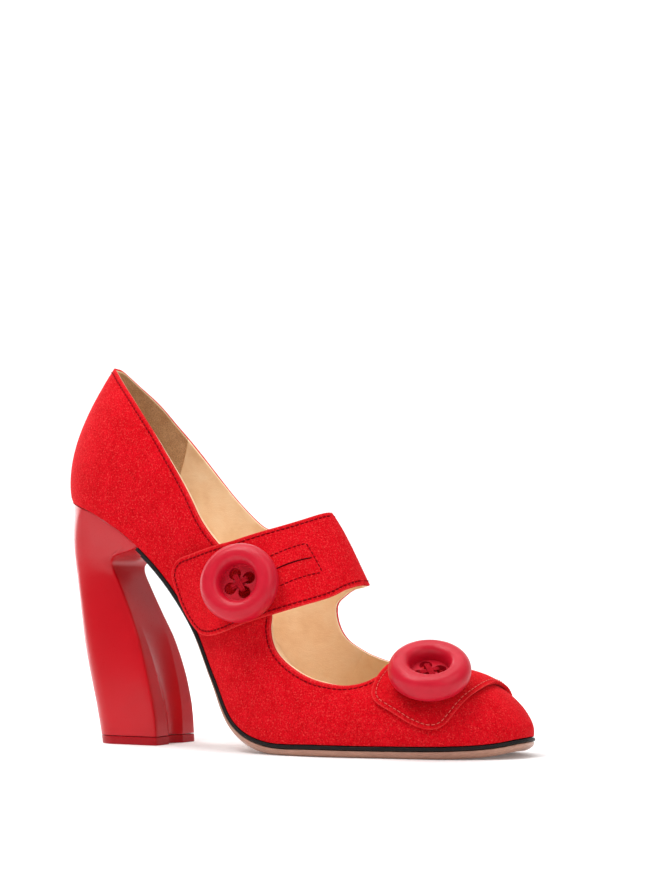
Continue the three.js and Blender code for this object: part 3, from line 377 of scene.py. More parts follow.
def tubes(name, paths, radii, sides):
    """Round strands through paths of points; radii is a number or one number for each point of a path."""
    points, faces = [], []
    around = np.linspace(0, 2 * np.pi, sides, endpoint=False)
    for path in paths:
        path = np.asarray(path, float)
        tangent = np.gradient(path, axis=0)
        tangent /= np.linalg.norm(tangent, axis=1)[:, None]
        side = np.cross(tangent[0], ASKEW)
        start = len(points)
        for k, (place, direction) in enumerate(zip(path, tangent)):
            side = side - direction * side.dot(direction)
            side /= np.linalg.norm(side)
            other = np.cross(direction, side)
            radius = radii if np.isscalar(radii) else radii[k]
            for a in around:
                points.append(place + radius * (math.cos(a) * side + math.sin(a) * other))
        rows = len(path)
        faces += [tuple(start + v for v in face) for face in quads(rows, sides, wrap=True)]
        faces.append(tuple(start + v for v in range(sides)))
        faces.append(tuple(start + (rows - 1) * sides + v for v in reversed(range(sides))))
    return mesh_piece(name, points, faces)


# ------------------------------------------------------------------ sheets cut to an outline
POINTS_AT_ONCE = 4000


def depth_in(polygon, points):
    """How deep points lie inside a polygon (negative outside), and the nearest place on its edge."""
    a, b = polygon, np.roll(polygon, -1, axis=0)
    edge = b - a
    length = np.maximum((edge**2).sum(1), 1e-12)
    depth, nearest = np.empty(len(points)), np.empty_like(points)
    for start in range(0, len(points), POINTS_AT_ONCE):
        part = slice(start, start + POINTS_AT_ONCE)
        p = points[part, None, :]
        u = np.clip(((p - a) * edge).sum(2) / length, 0, 1)
        foot = a + u[..., None] * edge
        away = ((p - foot) ** 2).sum(2)
        best = away.argmin(1)
        rows = np.arange(len(best))
        crosses = (a[:, 1] > p[..., 1]) != (b[:, 1] > p[..., 1])
        rise = np.where(np.abs(edge[:, 1]) < 1e-12, 1e-12, edge[:, 1])
        inside = (crosses & (p[..., 0] < a[:, 0] + (p[..., 1] - a[:, 1]) / rise * edge[:, 0])).sum(1) % 2
        distance = np.sqrt(away[rows, best])
        depth[part] = np.where(inside == 1, distance, -distance)
        nearest[part] = foot[rows, best]
    return depth, nearest


SCALE = np.array([ALONG_MM, GIRTH_MM])
# As shares of a cell: grid points this near the outline are moved onto it, or count as lying on it.
SNAP_SHARE, ON_LINE_SHARE = 0.3, 0.02


def cut_grid(polygon, span_s, span_r, cell, keep_inside):
    """A grid over a span of even coordinates, cut along a polygon: its points, and its faces."""
    rows = max(2, round((span_s[1] - span_s[0]) * ALONG_MM / cell)) + 1
    cols = max(2, round((span_r[1] - span_r[0]) * GIRTH_MM / cell)) + 1
    s, r = np.meshgrid(np.linspace(*span_s, rows), np.linspace(*span_r, cols), indexing="ij")
    points = np.stack([s.ravel(), r.ravel()], -1)
    depth, nearest = depth_in(polygon * SCALE, points * SCALE)
    if not keep_inside:
        depth = -depth
    i, j = np.divmod(np.arange(rows * cols), cols)
    inner = (i > 0) & (i < rows - 1) & (j > 0) & (j < cols - 1)
    snap = inner & (np.abs(depth) < SNAP_SHARE * cell)
    points[snap] = nearest[snap] / SCALE
    depth[snap] = 0
    depth[np.abs(depth) < ON_LINE_SHARE * cell] = 0
    points = list(points)
    cuts = {}

    def cut(p, q):
        key = (min(p, q), max(p, q))
        if key not in cuts:
            share = depth[p] / (depth[p] - depth[q])
            cuts[key] = len(points)
            points.append(points[p] + (points[q] - points[p]) * share)
        return cuts[key]

    faces = []
    for face in quads(rows, cols):
        values = [depth[v] for v in face]
        if max(values) <= 0:
            continue
        kept = []
        for p, q in zip(face, face[1:] + face[:1]):
            if depth[p] >= 0:
                kept.append(p)
            if depth[p] * depth[q] < 0:
                kept.append(cut(p, q))
        if len(kept) > 2:
            faces.append(kept)
    return np.array(points), faces


def sheet_piece(name, polygon, outer, inner, span_s=(0, 1), span_r=(0, 2), cell=1.1, keep_inside=True,
                edge=0.2, open_at=None):
    """A sheet on the last cut along a polygon, between the insets outer(s, r) and inner(s, r).
    Edges where open_at(s, r) holds at both ends get no rim, so that the sheet runs on into its neighbour."""
    even, faces = cut_grid(polygon, span_s, span_r, cell, keep_inside)
    s, r = even.T
    top, under = on_last(s, r, outer(s, r)), on_last(s, r, inner(s, r))
    _, first, welded = np.unique(np.round(top, 3), axis=0, return_index=True, return_inverse=True)
    welded = first[welded.ravel()]
    faces = [[int(welded[v]) for v in face] for face in faces]
    faces = [[v for k, v in enumerate(face) if v != face[k - 1]] for face in faces]
    faces = [face for face in faces if len(face) > 2]
    sides = dict.fromkeys((p, q) for face in faces for p, q in zip(face, face[1:] + face[:1]))
    n = len(even)
    rims = []
    for p, q in sides:
        if (q, p) in sides:
            continue
        if open_at is not None and open_at(*even[p]) and open_at(*even[q]):
            continue
        rims.append((q, p, p + n, q + n))
    both = faces + [[v + n for v in reversed(face)] for face in faces] + rims
    used = sorted({v for face in both for v in face})
    renumber = {v: k for k, v in enumerate(used)}
    points = np.vstack([top, under])[used]
    piece = mesh_piece(name, points, [[renumber[v] for v in face] for face in both])
    bevel(piece, edge)
    return sharpen(piece)


def mark_edges(piece, *curves):
    """Stores each vertex's distance in millimetres from the curves, for the material to read."""
    samples = np.vstack(curves)
    tree = kdtree.KDTree(len(samples))
    for k, place in enumerate(samples):
        tree.insert(Vector((place + SHIFT) * MM), k)
    tree.balance()
    distance = [tree.find(vertex.co)[2] / MM for vertex in piece.data.vertices]
    attribute = piece.data.attributes.new("edge_mm", "FLOAT", "POINT")
    attribute.data.foreach_set("value", distance)


def dress(piece, body, material, slot, *nodes):
    """Gives the piece its material and body, and hides the CAD nodes that it stands for; slot is not used."""
    piece.data.materials.clear()
    piece.data.materials.append(material)
    if body:
        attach(piece, body)
    if nodes:
        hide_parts(*nodes)


# ------------------------------------------------------------------ materials
class Nodes:
    """A short way to build a procedural material."""

    def __init__(self, name, **uniform):
        self.material = bpy.data.materials.new(name)
        self.material.use_nodes = True
        self.tree = self.material.node_tree
        self.shader = self.tree.nodes["Principled BSDF"]
        for socket, value in uniform.items():
            self.shader.inputs[socket.replace("_", " ")].default_value = value
        self.place = self.tree.nodes.new("ShaderNodeTexCoord").outputs["Object"]

    def link(self, source, node, socket):
        self.tree.links.new(source, node.inputs[socket])

    def noise(self, size_mm, detail=3.0, rough=0.55, stretch=(1, 1, 1)):
        """Noise with features of about size_mm, as a 0..1 value."""
        mapping = self.tree.nodes.new("ShaderNodeMapping")
        mapping.inputs["Scale"].default_value = [1 / (size_mm * MM) * k for k in stretch]
        self.link(self.place, mapping, "Vector")
        node = self.tree.nodes.new("ShaderNodeTexNoise")
        node.inputs["Scale"].default_value = 1
        node.inputs["Detail"].default_value = detail
        node.inputs["Roughness"].default_value = rough
        self.link(mapping.outputs[0], node, "Vector")
        return node.outputs["Fac"]

    def cells(self, size_mm):
        """Distance from the middle of cells of about size_mm."""
        node = self.tree.nodes.new("ShaderNodeTexVoronoi")
        node.inputs["Scale"].default_value = 1 / (size_mm * MM)
        self.link(self.place, node, "Vector")
        return node.outputs["Distance"]

    def attribute(self, name):
        node = self.tree.nodes.new("ShaderNodeAttribute")
        node.attribute_name = name
        return node.outputs["Fac"]

    def ramp(self, value, *stops):
        """Colours or levels over a value; stops are (position, colour or level)."""
        node = self.tree.nodes.new("ShaderNodeValToRGB")
        elements = node.color_ramp.elements
        while len(elements) < len(stops):
            elements.new(0.5)
        for element, (position, colour) in zip(elements, stops):
            element.position = position
            element.color = (*(colour if isinstance(colour, tuple) else (colour,) * 3), 1)
        self.link(value, node, "Fac")
        return node.outputs["Color"]

    def math(self, operation, a, b=0.0):
        node = self.tree.nodes.new("ShaderNodeMath")
        node.operation = operation
        for socket, value in ((0, a), (1, b)):
            if isinstance(value, (int, float)):
                node.inputs[socket].default_value = value
            else:
                self.link(value, node, socket)
        return node.outputs[0]

    def mix(self, share, a, b):
        node = self.tree.nodes.new("ShaderNodeMix")
        node.data_type = "RGBA"
        for socket, value in ((0, share), (6, a), (7, b)):
            if isinstance(value, tuple):
                node.inputs[socket].default_value = (*value, 1)
            elif isinstance(value, (int, float)):
                node.inputs[socket].default_value = value
            else:
                self.link(value, node, socket)
        return node.outputs[2]

    def two(self, value, low, high):
        """A ramp between two colours or levels over the middle of a noise's range."""
        return self.ramp(value, (0.3, low), (0.7, high))

    def bump(self, height, depth_mm, after=None):
        node = self.tree.nodes.new("ShaderNodeBump")
        node.inputs["Distance"].default_value = depth_mm * MM
        self.link(height, node, "Height")
        if after is not None:
            self.link(after, node, "Normal")
        return node.outputs[0]

    def finish(self, colour, roughness=None, normal=None):
        for source, socket in ((colour, "Base Color"), (roughness, "Roughness"), (normal, "Normal")):
            if source is not None:
                self.link(source, self.shader, socket)
        return self.material


STITCH_IN = 1.9  # topstitching from the edge
GROOVE_HALF = 0.55  # half the width of the line that the topstitching presses in, and of the painted shade along it


def suede_material(name):
    n = Nodes(name, Sheen_Weight=0.12, Sheen_Roughness=0.45, Specular_IOR_Level=0.04)
    n.shader.inputs["Sheen Tint"].default_value = (1.0, 0.2, 0.2, 1)
    mottle = n.noise(7.0, 4, 0.6)
    brushed = n.noise(1.4, 3, 0.6, (1, 1, 0.45))
    nap = n.noise(0.5, 2, 0.65)
    tuft = n.noise(0.65, 2, 0.7)
    colour = n.ramp(
        mottle, (0.3, (0.57, 0.001, 0.006)), (0.52, (0.64, 0.002, 0.009)), (0.72, (0.69, 0.004, 0.013)))
    colour = n.mix(n.ramp(brushed, (0.4, 0.0), (0.75, 0.4)), colour, (0.76, 0.014, 0.022))
    colour = n.mix(n.ramp(nap, (0.34, 0.8), (0.49, 0.0)), colour, (0.38, 0.0, 0.003))
    colour = n.mix(n.ramp(tuft, (0.54, 0.0), (0.72, 0.55)), colour, (0.88, 0.08, 0.07))
    edge = n.attribute("edge_mm")
    colour = n.mix(n.ramp(edge, (0.0, 0.45), (0.8, 0.0)), colour, (0.85, 0.08, 0.075))
    groove = n.math("SUBTRACT", edge, STITCH_IN)
    groove = n.math("DIVIDE", n.math("ABSOLUTE", groove), GROOVE_HALF)
    groove = n.math("MINIMUM", groove, 1.0)
    # painted shade: the colour darkens along the line that the topstitching presses in
    colour = n.mix(n.ramp(groove, (0.0, 0.4), (1.0, 0.0)), colour, (0.36, 0.0, 0.003))
    pressed = n.bump(n.ramp(groove, (0.0, 0.0), (0.6, 0.8), (1.0, 1.0)), 0.22)
    relief = n.bump(brushed, 0.14, n.bump(mottle, 0.25, pressed))
    rough = n.two(nap, 0.98, 0.84)
    return n.finish(colour, rough, n.bump(nap, 0.1, relief))


def lacquer_material():
    n = Nodes("heel_lacquer", Coat_Weight=0.4, Coat_Roughness=0.24, Specular_IOR_Level=0.1)
    colour = n.two(n.noise(30, 2), (0.47, 0.001, 0.006), (0.54, 0.002, 0.009))
    ripple = n.noise(9, 2, 0.4)
    return n.finish(colour, n.two(n.noise(0.5, 2), 0.27, 0.34), n.bump(ripple, 0.03))


def plastic_material():
    n = Nodes("button_plastic", Coat_Weight=0.15, Coat_Roughness=0.26, Specular_IOR_Level=0.25)
    cloud = n.noise(6, 3)
    colour = n.two(cloud, (0.53, 0.003, 0.019), (0.59, 0.005, 0.025))
    fine = n.noise(0.25, 2)
    rough = n.two(n.noise(2.5, 3), 0.36, 0.45)
    return n.finish(colour, rough, n.bump(fine, 0.012, n.bump(cloud, 0.06)))


def grained_material(name, grain, dark, light, rough, depth_mm, **uniform):
    """A surface whose colour, roughness and relief all follow one grain; grain is what noise() takes."""
    n = Nodes(name, **uniform)
    noise = n.noise(*grain)
    return n.finish(n.two(noise, dark, light), n.two(noise, *rough), n.bump(noise, depth_mm))


def thread_material(name, dark, light):
    fibre = (0.16, 3, 0.6, (1, 1, 2.2))
    return grained_material(name, fibre, dark, light, (0.92, 0.75), 0.08, Specular_IOR_Level=0.06)


def metal_material(name, dark, light, rough):
    brushed = (0.5, 3, 0.6, (0.2, 1, 1))
    return grained_material(name, brushed, dark, light, (rough, rough + 0.14), 0.02, Metallic=1.0)


def board_material(name, dark, light, size_mm):
    return grained_material(name, (size_mm, 4, 0.65), dark, light, (0.95, 0.82), 0.15, Specular_IOR_Level=0.2)


def kid_material(name, dark, middle, light, cut_edge):
    """Smooth lining leather: fine pores and soft creases, and a pale cut edge."""
    n = Nodes(name, Specular_IOR_Level=0.35)
    cloud = n.noise(14, 4, 0.6)
    pores = n.cells(0.45)
    crease = n.noise(4.5, 3, 0.55, (0.45, 1, 1))
    colour = n.ramp(cloud, (0.28, dark), (0.5, middle), (0.74, light))
    colour = n.mix(n.ramp(pores, (0.0, 0.35), (0.35, 0.0)), colour, dark)
    colour = n.mix(n.ramp(n.attribute("edge_mm"), (0.0, 0.95), (0.9, 0.0)), colour, cut_edge)
    return n.finish(colour, n.two(cloud, 0.46, 0.58), n.bump(pores, 0.05, n.bump(crease, 0.3)))


def grip_material():
    n = Nodes("grip_suede", Sheen_Weight=0.3, Sheen_Roughness=0.5, Specular_IOR_Level=0.15)
    nap = n.noise(0.4, 3, 0.6)
    colour = n.two(n.noise(6, 3), (0.54, 0.30, 0.14), (0.68, 0.42, 0.22))
    colour = n.mix(n.ramp(nap, (0.35, 0.6), (0.6, 0.0)), colour, (0.21, 0.11, 0.055))
    colour = n.mix(n.ramp(n.attribute("edge_mm"), (0.0, 0.95), (0.9, 0.0)), colour, (0.72, 0.56, 0.40))
    return n.finish(colour, n.two(nap, 0.97, 0.86), n.bump(nap, 0.12))


def sole_material():
    n = Nodes("sole_leather", Coat_Weight=0.3, Coat_Roughness=0.25, Specular_IOR_Level=0.45)
    fine = n.noise(0.35, 3)
    colour = n.two(n.noise(2.0, 4, 0.6, (0.35, 1, 1)), (0.40, 0.19, 0.125), (0.50, 0.26, 0.18))
    colour = n.mix(n.ramp(fine, (0.3, 0.3), (0.6, 0.0)), colour, (0.34, 0.16, 0.10))
    ink = n.ramp(n.attribute("edge_mm"), (0.85, 1.0), (1.3, 0.0))
    colour = n.mix(ink, colour, (0.012, 0.009, 0.009))
    return n.finish(colour, n.two(fine, 0.32, 0.45), n.bump(fine, 0.04))


SUEDE_LOOK = suede_material("red_suede")
LACQUER = lacquer_material()
TREAD = grained_material("heel_tread", (0.7, 3), (0.34, 0.001, 0.006), (0.42, 0.003, 0.01), (0.34, 0.46), 0.05,
                         Specular_IOR_Level=0.2)
PLASTIC = plastic_material()
BUTTON_THREAD = thread_material("button_thread", (0.24, 0.001, 0.008), (0.60, 0.012, 0.026))
RED_STITCH = thread_material("red_stitch", (0.10, 0.0, 0.003), (0.26, 0.001, 0.006))
PALE_STITCH = thread_material("pale_stitch", (0.66, 0.05, 0.045), (0.86, 0.17, 0.14))
# painted shadow: a near-black strand that stands for the shade in the buttonhole's slit
SLIT_SHADOW_LOOK = thread_material("slit_shade", (0.03, 0.0, 0.001), (0.09, 0.0, 0.002))
KID = kid_material("kid_lining", (0.82, 0.54, 0.30), (0.92, 0.67, 0.42), (0.96, 0.76, 0.52), (0.96, 0.84, 0.66))
SOCK_LOOK = kid_material(
    "sock_leather", (0.76, 0.50, 0.28), (0.88, 0.64, 0.40), (0.93, 0.72, 0.50), (0.8, 0.56, 0.34))
GRIP = grip_material()
SOLE_LEATHER = sole_material()
BLACK_EDGE = grained_material("black_edge", (0.6, 3, 0.6, (0.4, 1, 1)), (0.004, 0.003, 0.003),
                              (0.012, 0.009, 0.009), (0.38, 0.55), 0.06, Specular_IOR_Level=0.2)
STEEL = metal_material("steel", (0.42, 0.42, 0.43), (0.62, 0.62, 0.63), 0.3)
GOLD = metal_material("gold", (0.62, 0.42, 0.16), (0.82, 0.60, 0.26), 0.24)
FIBREBOARD = board_material("fibreboard", (0.26, 0.16, 0.09), (0.44, 0.31, 0.19), 1.2)
CORK = board_material("cork_filler", (0.22, 0.13, 0.07), (0.52, 0.36, 0.22), 2.2)


# ------------------------------------------------------------------ upper
OUTER_EDGE = outline(OUTER_OPENING, count=420)
INNER_EDGE = outline(INNER_TOPLINE, mirror=True, count=320)
THROAT_EDGE = outline(INNER_THROAT, mirror=True, count=320)
PAST_HEEL = -0.03  # the opening's outline closes behind the heel
OPENING = np.vstack([
    OUTER_EDGE, THROAT_EDGE[::-1], INNER_EDGE[::-1],
    [[PAST_HEEL, INNER_EDGE[0, 1]], [PAST_HEEL, OUTER_EDGE[0, 1]]],
])
CREST_FROM, CREST_TO = float(s_of(0.497)), float(s_of(0.617))
WALL_UNDER = 2.0  # depth of the lining's inner face
LINING_TOP = SUEDE + 0.05
GRIP_OVERLAP = 0.004  # in even coordinates
SEAM_FROM, SEAM_TO = float(s_of(GRIP_SEAM)), float(s_of(VAMP_LINING_SEAM))


def same(value):
    return lambda s, r: np.full(np.shape(s), float(value))


def at_crest(s, r):
    """True on the line over the ridge where the instep strap runs on from the upper."""
    return abs(r - 1) < 1e-3 and CREST_FROM - 0.004 < s < CREST_TO + 0.004


EDGE_CURVES = [on_last(*edge.T) for edge in (OUTER_EDGE, INNER_EDGE, THROAT_EDGE)]


def make_upper():
    upper = sheet_piece("upper", OPENING, same(0), same(SUEDE), keep_inside=False, open_at=at_crest)
    mark_edges(upper, *EDGE_CURVES)
    dress(upper, "shoe", SUEDE_LOOK, "suede", "suede_upper", "interlining", "heel_counter", "toe_puff")


def make_linings():
    def layer(name, span_s, span_r, material, slot, node, proud=0.0):
        piece = sheet_piece(name, OPENING, same(LINING_TOP), same(WALL_UNDER + proud), span_s, span_r,
                            cell=1.4, keep_inside=False, edge=0.12, open_at=at_crest)
        mark_edges(piece, *EDGE_CURVES)
        dress(piece, "shoe", material, slot, node)

    layer("heel_grip_patch", (0, SEAM_FROM + GRIP_OVERLAP), (0, 2), GRIP, "grip", "heel_grip", proud=0.35)
    layer("outer_lining", (SEAM_FROM, SEAM_TO), (0, 1), KID, "kid", "outer_quarter_lining")
    layer("inner_lining", (SEAM_FROM, SEAM_TO), (1, 2), KID, "kid", "inner_quarter_lining")
    layer("vamp_lining_leather", (SEAM_TO, 1), (0, 2), KID, "kid", "vamp_lining", proud=0.3)


# ------------------------------------------------------------------ straps
STRAP_CORNER, VAMP_STRAP_CORNER = 5.5, 6.0  # how far the ends' corners are cut back and rounded
STRAP_LINING_IN = 0.9  # the strap's lining from its edge
STRAP_LINING_FROM, STRAP_LINING_TO = SUEDE + 0.04, SUEDE + 0.9
CREST_FADE = 0.03  # near the crest, in even coordinates
VAMP_STRAP_UNDER = -0.25  # the underside stands this far off the upper


def rounded(polygon_parts, reach):
    """Joins curves end to end into a polygon, with every meeting cut back by reach and rounded."""
    made = []
    for k, part in enumerate(polygon_parts):
        following = polygon_parts[(k + 1) % len(polygon_parts)]
        part_mm, next_mm = part * SCALE, following * SCALE
        from_start = np.linalg.norm(part_mm - part_mm[0], axis=1)
        from_end = np.linalg.norm(part_mm - part_mm[-1], axis=1)
        start_reach, end_reach = reach[k - 1], reach[k]
        made.append(part[(from_start >= start_reach) & (from_end >= end_reach)])
        if end_reach > 0:
            a = part[from_end >= end_reach][-1]
            c = following[np.linalg.norm(next_mm - next_mm[0], axis=1) >= end_reach][0]
            b = part[-1]
            u = np.linspace(0, 1, 14)[1:-1, None]
            made.append((1 - u) ** 2 * a + 2 * u * (1 - u) * b + u**2 * c)
    return np.vstack(made)


def strap_outline():
    upper_edge, low_edge = outline(STRAP_TOP_EDGE), outline(STRAP_LOW_EDGE)
    (t0, g0), (t1, g1) = STRAP_TOP_EDGE[0], STRAP_LOW_EDGE[0]
    v = np.linspace(0, 1, 60)
    end = np.stack([t0 + (t1 - t0) * v, g0 + (g1 - g0) * v - STRAP_END_BOW * 4 * v * (1 - v)], -1)
    crest = np.linspace(upper_edge[-1], low_edge[-1], 30)
    corners = [STRAP_CORNER, 0, 0, STRAP_CORNER]
    return rounded([to_even(end), low_edge, crest[::-1], upper_edge[::-1]], corners)


def vamp_outline():
    rear, front = outline(VAMP_STRAP_REAR), outline(VAMP_STRAP_FRONT)
    tab = np.linspace(rear[0], front[0], 60)
    far = np.linspace(front[-1], rear[-1], 40)
    return rounded([tab, front, far, rear[::-1]], [VAMP_STRAP_CORNER, 0, 0, VAMP_STRAP_CORNER])


STRAP_OUTLINE, VAMP_OUTLINE = strap_outline(), vamp_outline()


def on_strap(s, r, depth=0.0):
    return on_last(s, r, depth - strap_rise(girth_of(r)))


def on_vamp_strap(s, r, depth=0.0):
    return on_last(s, r, depth - VAMP_LIFT - SUEDE)


def edge_without_crest(polygon):
    return polygon[np.abs(polygon[:, 1] - 1) > 1e-3]


def hinge_side(piece):
    """Takes a piece of the strap, which is one with the upper at the crest, off its parent and works its
    transform into its mesh.
    """
    middle = (CREST_FROM + CREST_TO) / 2
    crest = on_last(middle, 1.0).ravel()
    piece.parent = None
    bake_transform(piece)


def drawn_in(surface, polygon, inward):
    """A polygon moved inwards by millimetres, apart from where it meets the crest."""
    shift = offset_line(surface, polygon, inward) - polygon
    return polygon + shift * np.clip((1 - polygon[:, 1]) / CREST_FADE, 0, 1)[:, None]


def make_instep_strap():
    span_s, span_r = (float(s_of(0.33)), float(s_of(0.63))), (0.02, 1.0)

    def rise(depth):
        return lambda s, r: depth - strap_rise(girth_of(r))

    flap = sheet_piece("instep_strap_flap", STRAP_OUTLINE, rise(0), rise(SUEDE), span_s, span_r, cell=0.8,
                       open_at=at_crest)
    rim = on_strap(*edge_without_crest(STRAP_OUTLINE).T)
    mark_edges(flap, rim)
    dress(flap, None, SUEDE_LOOK, "suede", "instep_strap")
    hinge_side(flap)
    lining = sheet_piece("instep_strap_flap_lining", drawn_in(on_strap, STRAP_OUTLINE, STRAP_LINING_IN),
                         rise(STRAP_LINING_FROM), rise(STRAP_LINING_TO), span_s, span_r, cell=1.0, edge=0.1,
                         open_at=at_crest)
    mark_edges(lining, rim)
    dress(lining, None, KID, "kid", "instep_strap_lining")
    hinge_side(lining)


def make_vamp_strap():
    span_s = (float(s_of(0.755)), float(s_of(0.95)))
    strap = sheet_piece("toe_strap", VAMP_OUTLINE, same(-VAMP_LIFT - SUEDE), same(VAMP_STRAP_UNDER), span_s,
                        (0.05, 1.85), cell=0.8, edge=0.3)
    mark_edges(strap, on_vamp_strap(*VAMP_OUTLINE.T))
    dress(strap, "shoe", SUEDE_LOOK, "suede", "vamp_strap")


# ------------------------------------------------------------------ stitching
STITCH_LENGTH = 1.5
STITCH_GAP = 0.6
STITCH_RADIUS = 0.24
# A stitch's shape at six places: its share of the length, its height and its thickness.
STITCH_SHARE = np.array([0, 0.14, 0.36, 0.64, 0.86, 1.0])
STITCH_HEIGHT = np.array([-0.32, -0.02, 1.0, 1.0, -0.02, -0.32]) * 0.1
STITCH_SWELL = np.array([0.55, 0.95, 1.0, 1.0, 0.95, 0.55])
INSIDE = np.array([feather_x(0.4) + 20, 0, 60.0])  # a place in the shoe, to tell out from in
ROW_START = 0.004  # the toplines' rows begin this share of their length from the heel


def surface_frame(surface, even):
    """Places on a surface with its unit normal and its two slopes, at even coordinates."""
    s, r = even.T
    step = 1e-4
    along = (surface(s + step, r) - surface(s - step, r)) / (2 * step)
    round_ = (surface(s, r + step) - surface(s, r - step)) / (2 * step)
    normal = np.cross(along, round_)
    normal /= np.maximum(np.linalg.norm(normal, axis=1), 1e-9)[:, None]
    return surface(s, r), normal, along, round_


def offset_line(surface, even, inward):
    """The line that lies inward millimetres to the left of a line, on the surface."""
    place, normal, along, round_ = surface_frame(surface, even)
    tangent = np.gradient(place, axis=0)
    tangent /= np.maximum(np.linalg.norm(tangent, axis=1), 1e-9)[:, None]
    aim = np.cross(normal, tangent) * inward
    a, b, c = (along**2).sum(1), (along * round_).sum(1), (round_**2).sum(1)
    p, q = (along * aim).sum(1), (round_ * aim).sum(1)
    det = np.maximum(a * c - b * b, 1e-9)
    return even + np.stack([(c * p - b * q) / det, (a * q - b * p) / det], -1)


def stitches_along(surface, even, gap=STITCH_GAP):
    """Paths of stitches laid end to end along a line on a surface, each with its ends sunk in."""
    place, normal, _, _ = surface_frame(surface, even)
    travel = np.concatenate([[0], np.cumsum(np.linalg.norm(np.diff(place, axis=0), axis=1))])
    outward = np.sign((normal * (place - INSIDE)).sum(1))
    outward = 1.0 if outward.mean() > 0 else -1.0
    paths = []
    for k in range(int(travel[-1] // (STITCH_LENGTH + gap))):
        at = k * (STITCH_LENGTH + gap) + gap / 2 + STITCH_SHARE * STITCH_LENGTH
        spot = np.stack([np.interp(at, travel, place[:, c]) for c in range(3)], -1)
        up = np.stack([np.interp(at, travel, normal[:, c]) for c in range(3)], -1) * outward
        paths.append(spot + up * STITCH_HEIGHT[:, None])
    return paths


def stitch_piece(name, paths, material, radius=STITCH_RADIUS):
    piece = tubes(name, paths, radius * STITCH_SWELL, 7)
    piece.data.materials.append(material)
    return piece


def inner_line(surface, even, inward, start=0.0):
    """The line of a row of stitches, without the first share of its length."""
    return offset_line(surface, even[np.linspace(0, 1, len(even)) >= start], inward)


def make_stitching():
    upper_rows = []
    for edge, inward, row_start in (
        (OUTER_EDGE, -STITCH_IN, ROW_START),
        (INNER_EDGE, STITCH_IN, ROW_START),
        (THROAT_EDGE, STITCH_IN, 0),
    ):
        upper_rows += stitches_along(on_last, inner_line(on_last, edge, inward, row_start))
    piece = stitch_piece("topline_stitching", upper_rows, RED_STITCH, 0.19)
    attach(piece, "shoe")

    border = edge_without_crest(STRAP_OUTLINE)
    start = np.argmax(np.linalg.norm(np.diff(border * SCALE, axis=0), axis=1)) + 1
    border = np.vstack([border[start:], border[:start]])
    paths = stitches_along(on_strap, inner_line(on_strap, border, STITCH_IN))
    piece = stitch_piece("instep_strap_stitching", paths, RED_STITCH)
    hinge_side(piece)

    border = np.vstack([VAMP_OUTLINE, VAMP_OUTLINE[:1]])
    paths = stitches_along(on_vamp_strap, inner_line(on_vamp_strap, border, STITCH_IN))
    piece = stitch_piece("toe_strap_stitching", paths, PALE_STITCH, 0.2)
    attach(piece, "shoe")


# Corners of the buttonhole's box of stitches on the strap, as (t, girth).
BUTTONHOLE_TOP = [(0.494, 0.68), (0.520, 0.857)]
BUTTONHOLE_LOW = [(0.541, 0.66), (0.570, 0.874)]
BUTTONHOLE_SLIT = [(0.515, 0.66), (0.543, 0.852)]
BUTTONHOLE_END = [BUTTONHOLE_TOP[1], BUTTONHOLE_LOW[1]]
BUTTONHOLE_GAP = 0.45  # between its stitches


def make_buttonhole():
    def line(ends):
        return np.linspace(*to_even(ends), 60)

    rows = []
    for ends in (BUTTONHOLE_TOP, BUTTONHOLE_LOW, BUTTONHOLE_END):
        rows += stitches_along(on_strap, line(ends), BUTTONHOLE_GAP)
    # A near-black strand along the slit is painted shadow in the cut.
    slit = line(BUTTONHOLE_SLIT)
    place, normal, _, _ = surface_frame(on_strap, slit)
    normal *= -1 if normal[0, 1] > 0 else 1
    sunk = np.sin(np.linspace(0, np.pi, len(slit)))[:, None] * 0.08 - 0.1
    painted_slit_shadow = tubes("buttonhole_slit_shadow", [place + normal * sunk], 0.3, 8)
    painted_slit_shadow.data.materials.append(SLIT_SHADOW_LOOK)
    hinge_side(painted_slit_shadow)
    piece = stitch_piece("buttonhole_stitching", rows, RED_STITCH, 0.22)
    hinge_side(piece)


# ------------------------------------------------------------------ buttons
BUTTON_OUTER = 16.0
BUTTON_INNER = 7.3
BUTTON_THICKNESS = 10.4
WEB_LOW, WEB = 2.2, 2.4
THREAD_HOLE, THREAD_HOLE_RADIUS = 5.0, 4.3
THREAD_HOLE_TURN = math.pi / 4
INNER_WALL_SQUARE = 0.62  # below 1, the ring's inner wall stands steeper than its outer one
BUTTON_SIDES = 96
SEAT_REACH = (0.045, 0.12)  # a button's half-width in t and girth, to find how its seat faces
# The thread through a button's holes: strands side by side in two crossing bars.
STRAND_RADIUS, STRANDS_AT = 0.33, (-0.78, -0.26, 0.26, 0.78)
STRAND_IN, STRAND_LOW = 0.7, 0.3  # inwards from the holes' middles, and over the web's underside at the ends
STRAND_TOP, BAR_STEP = 0.42, 0.5  # over the web, and from one bar to the other
# The stem that the button stands on: thread wound round a core.
STEM_RADIUS, STEM_TURNS, STEM_HIGH, STEM_CORE = 1.35, 5, 0.9, 1.15


def seat_normal(at):
    """The direction that a button at (t, girth) faces, taken over a button's width."""
    t, g = at
    wide_t, wide_g = SEAT_REACH
    along = last_point(t + wide_t, g) - last_point(t - wide_t, g)
    up = last_point(t, min(1.9, g + wide_g)) - last_point(t, g - wide_g)
    normal = np.cross(along.ravel(), up.ravel())
    normal /= np.linalg.norm(normal)
    return -normal if g <= 1 and normal[1] > 0 else normal


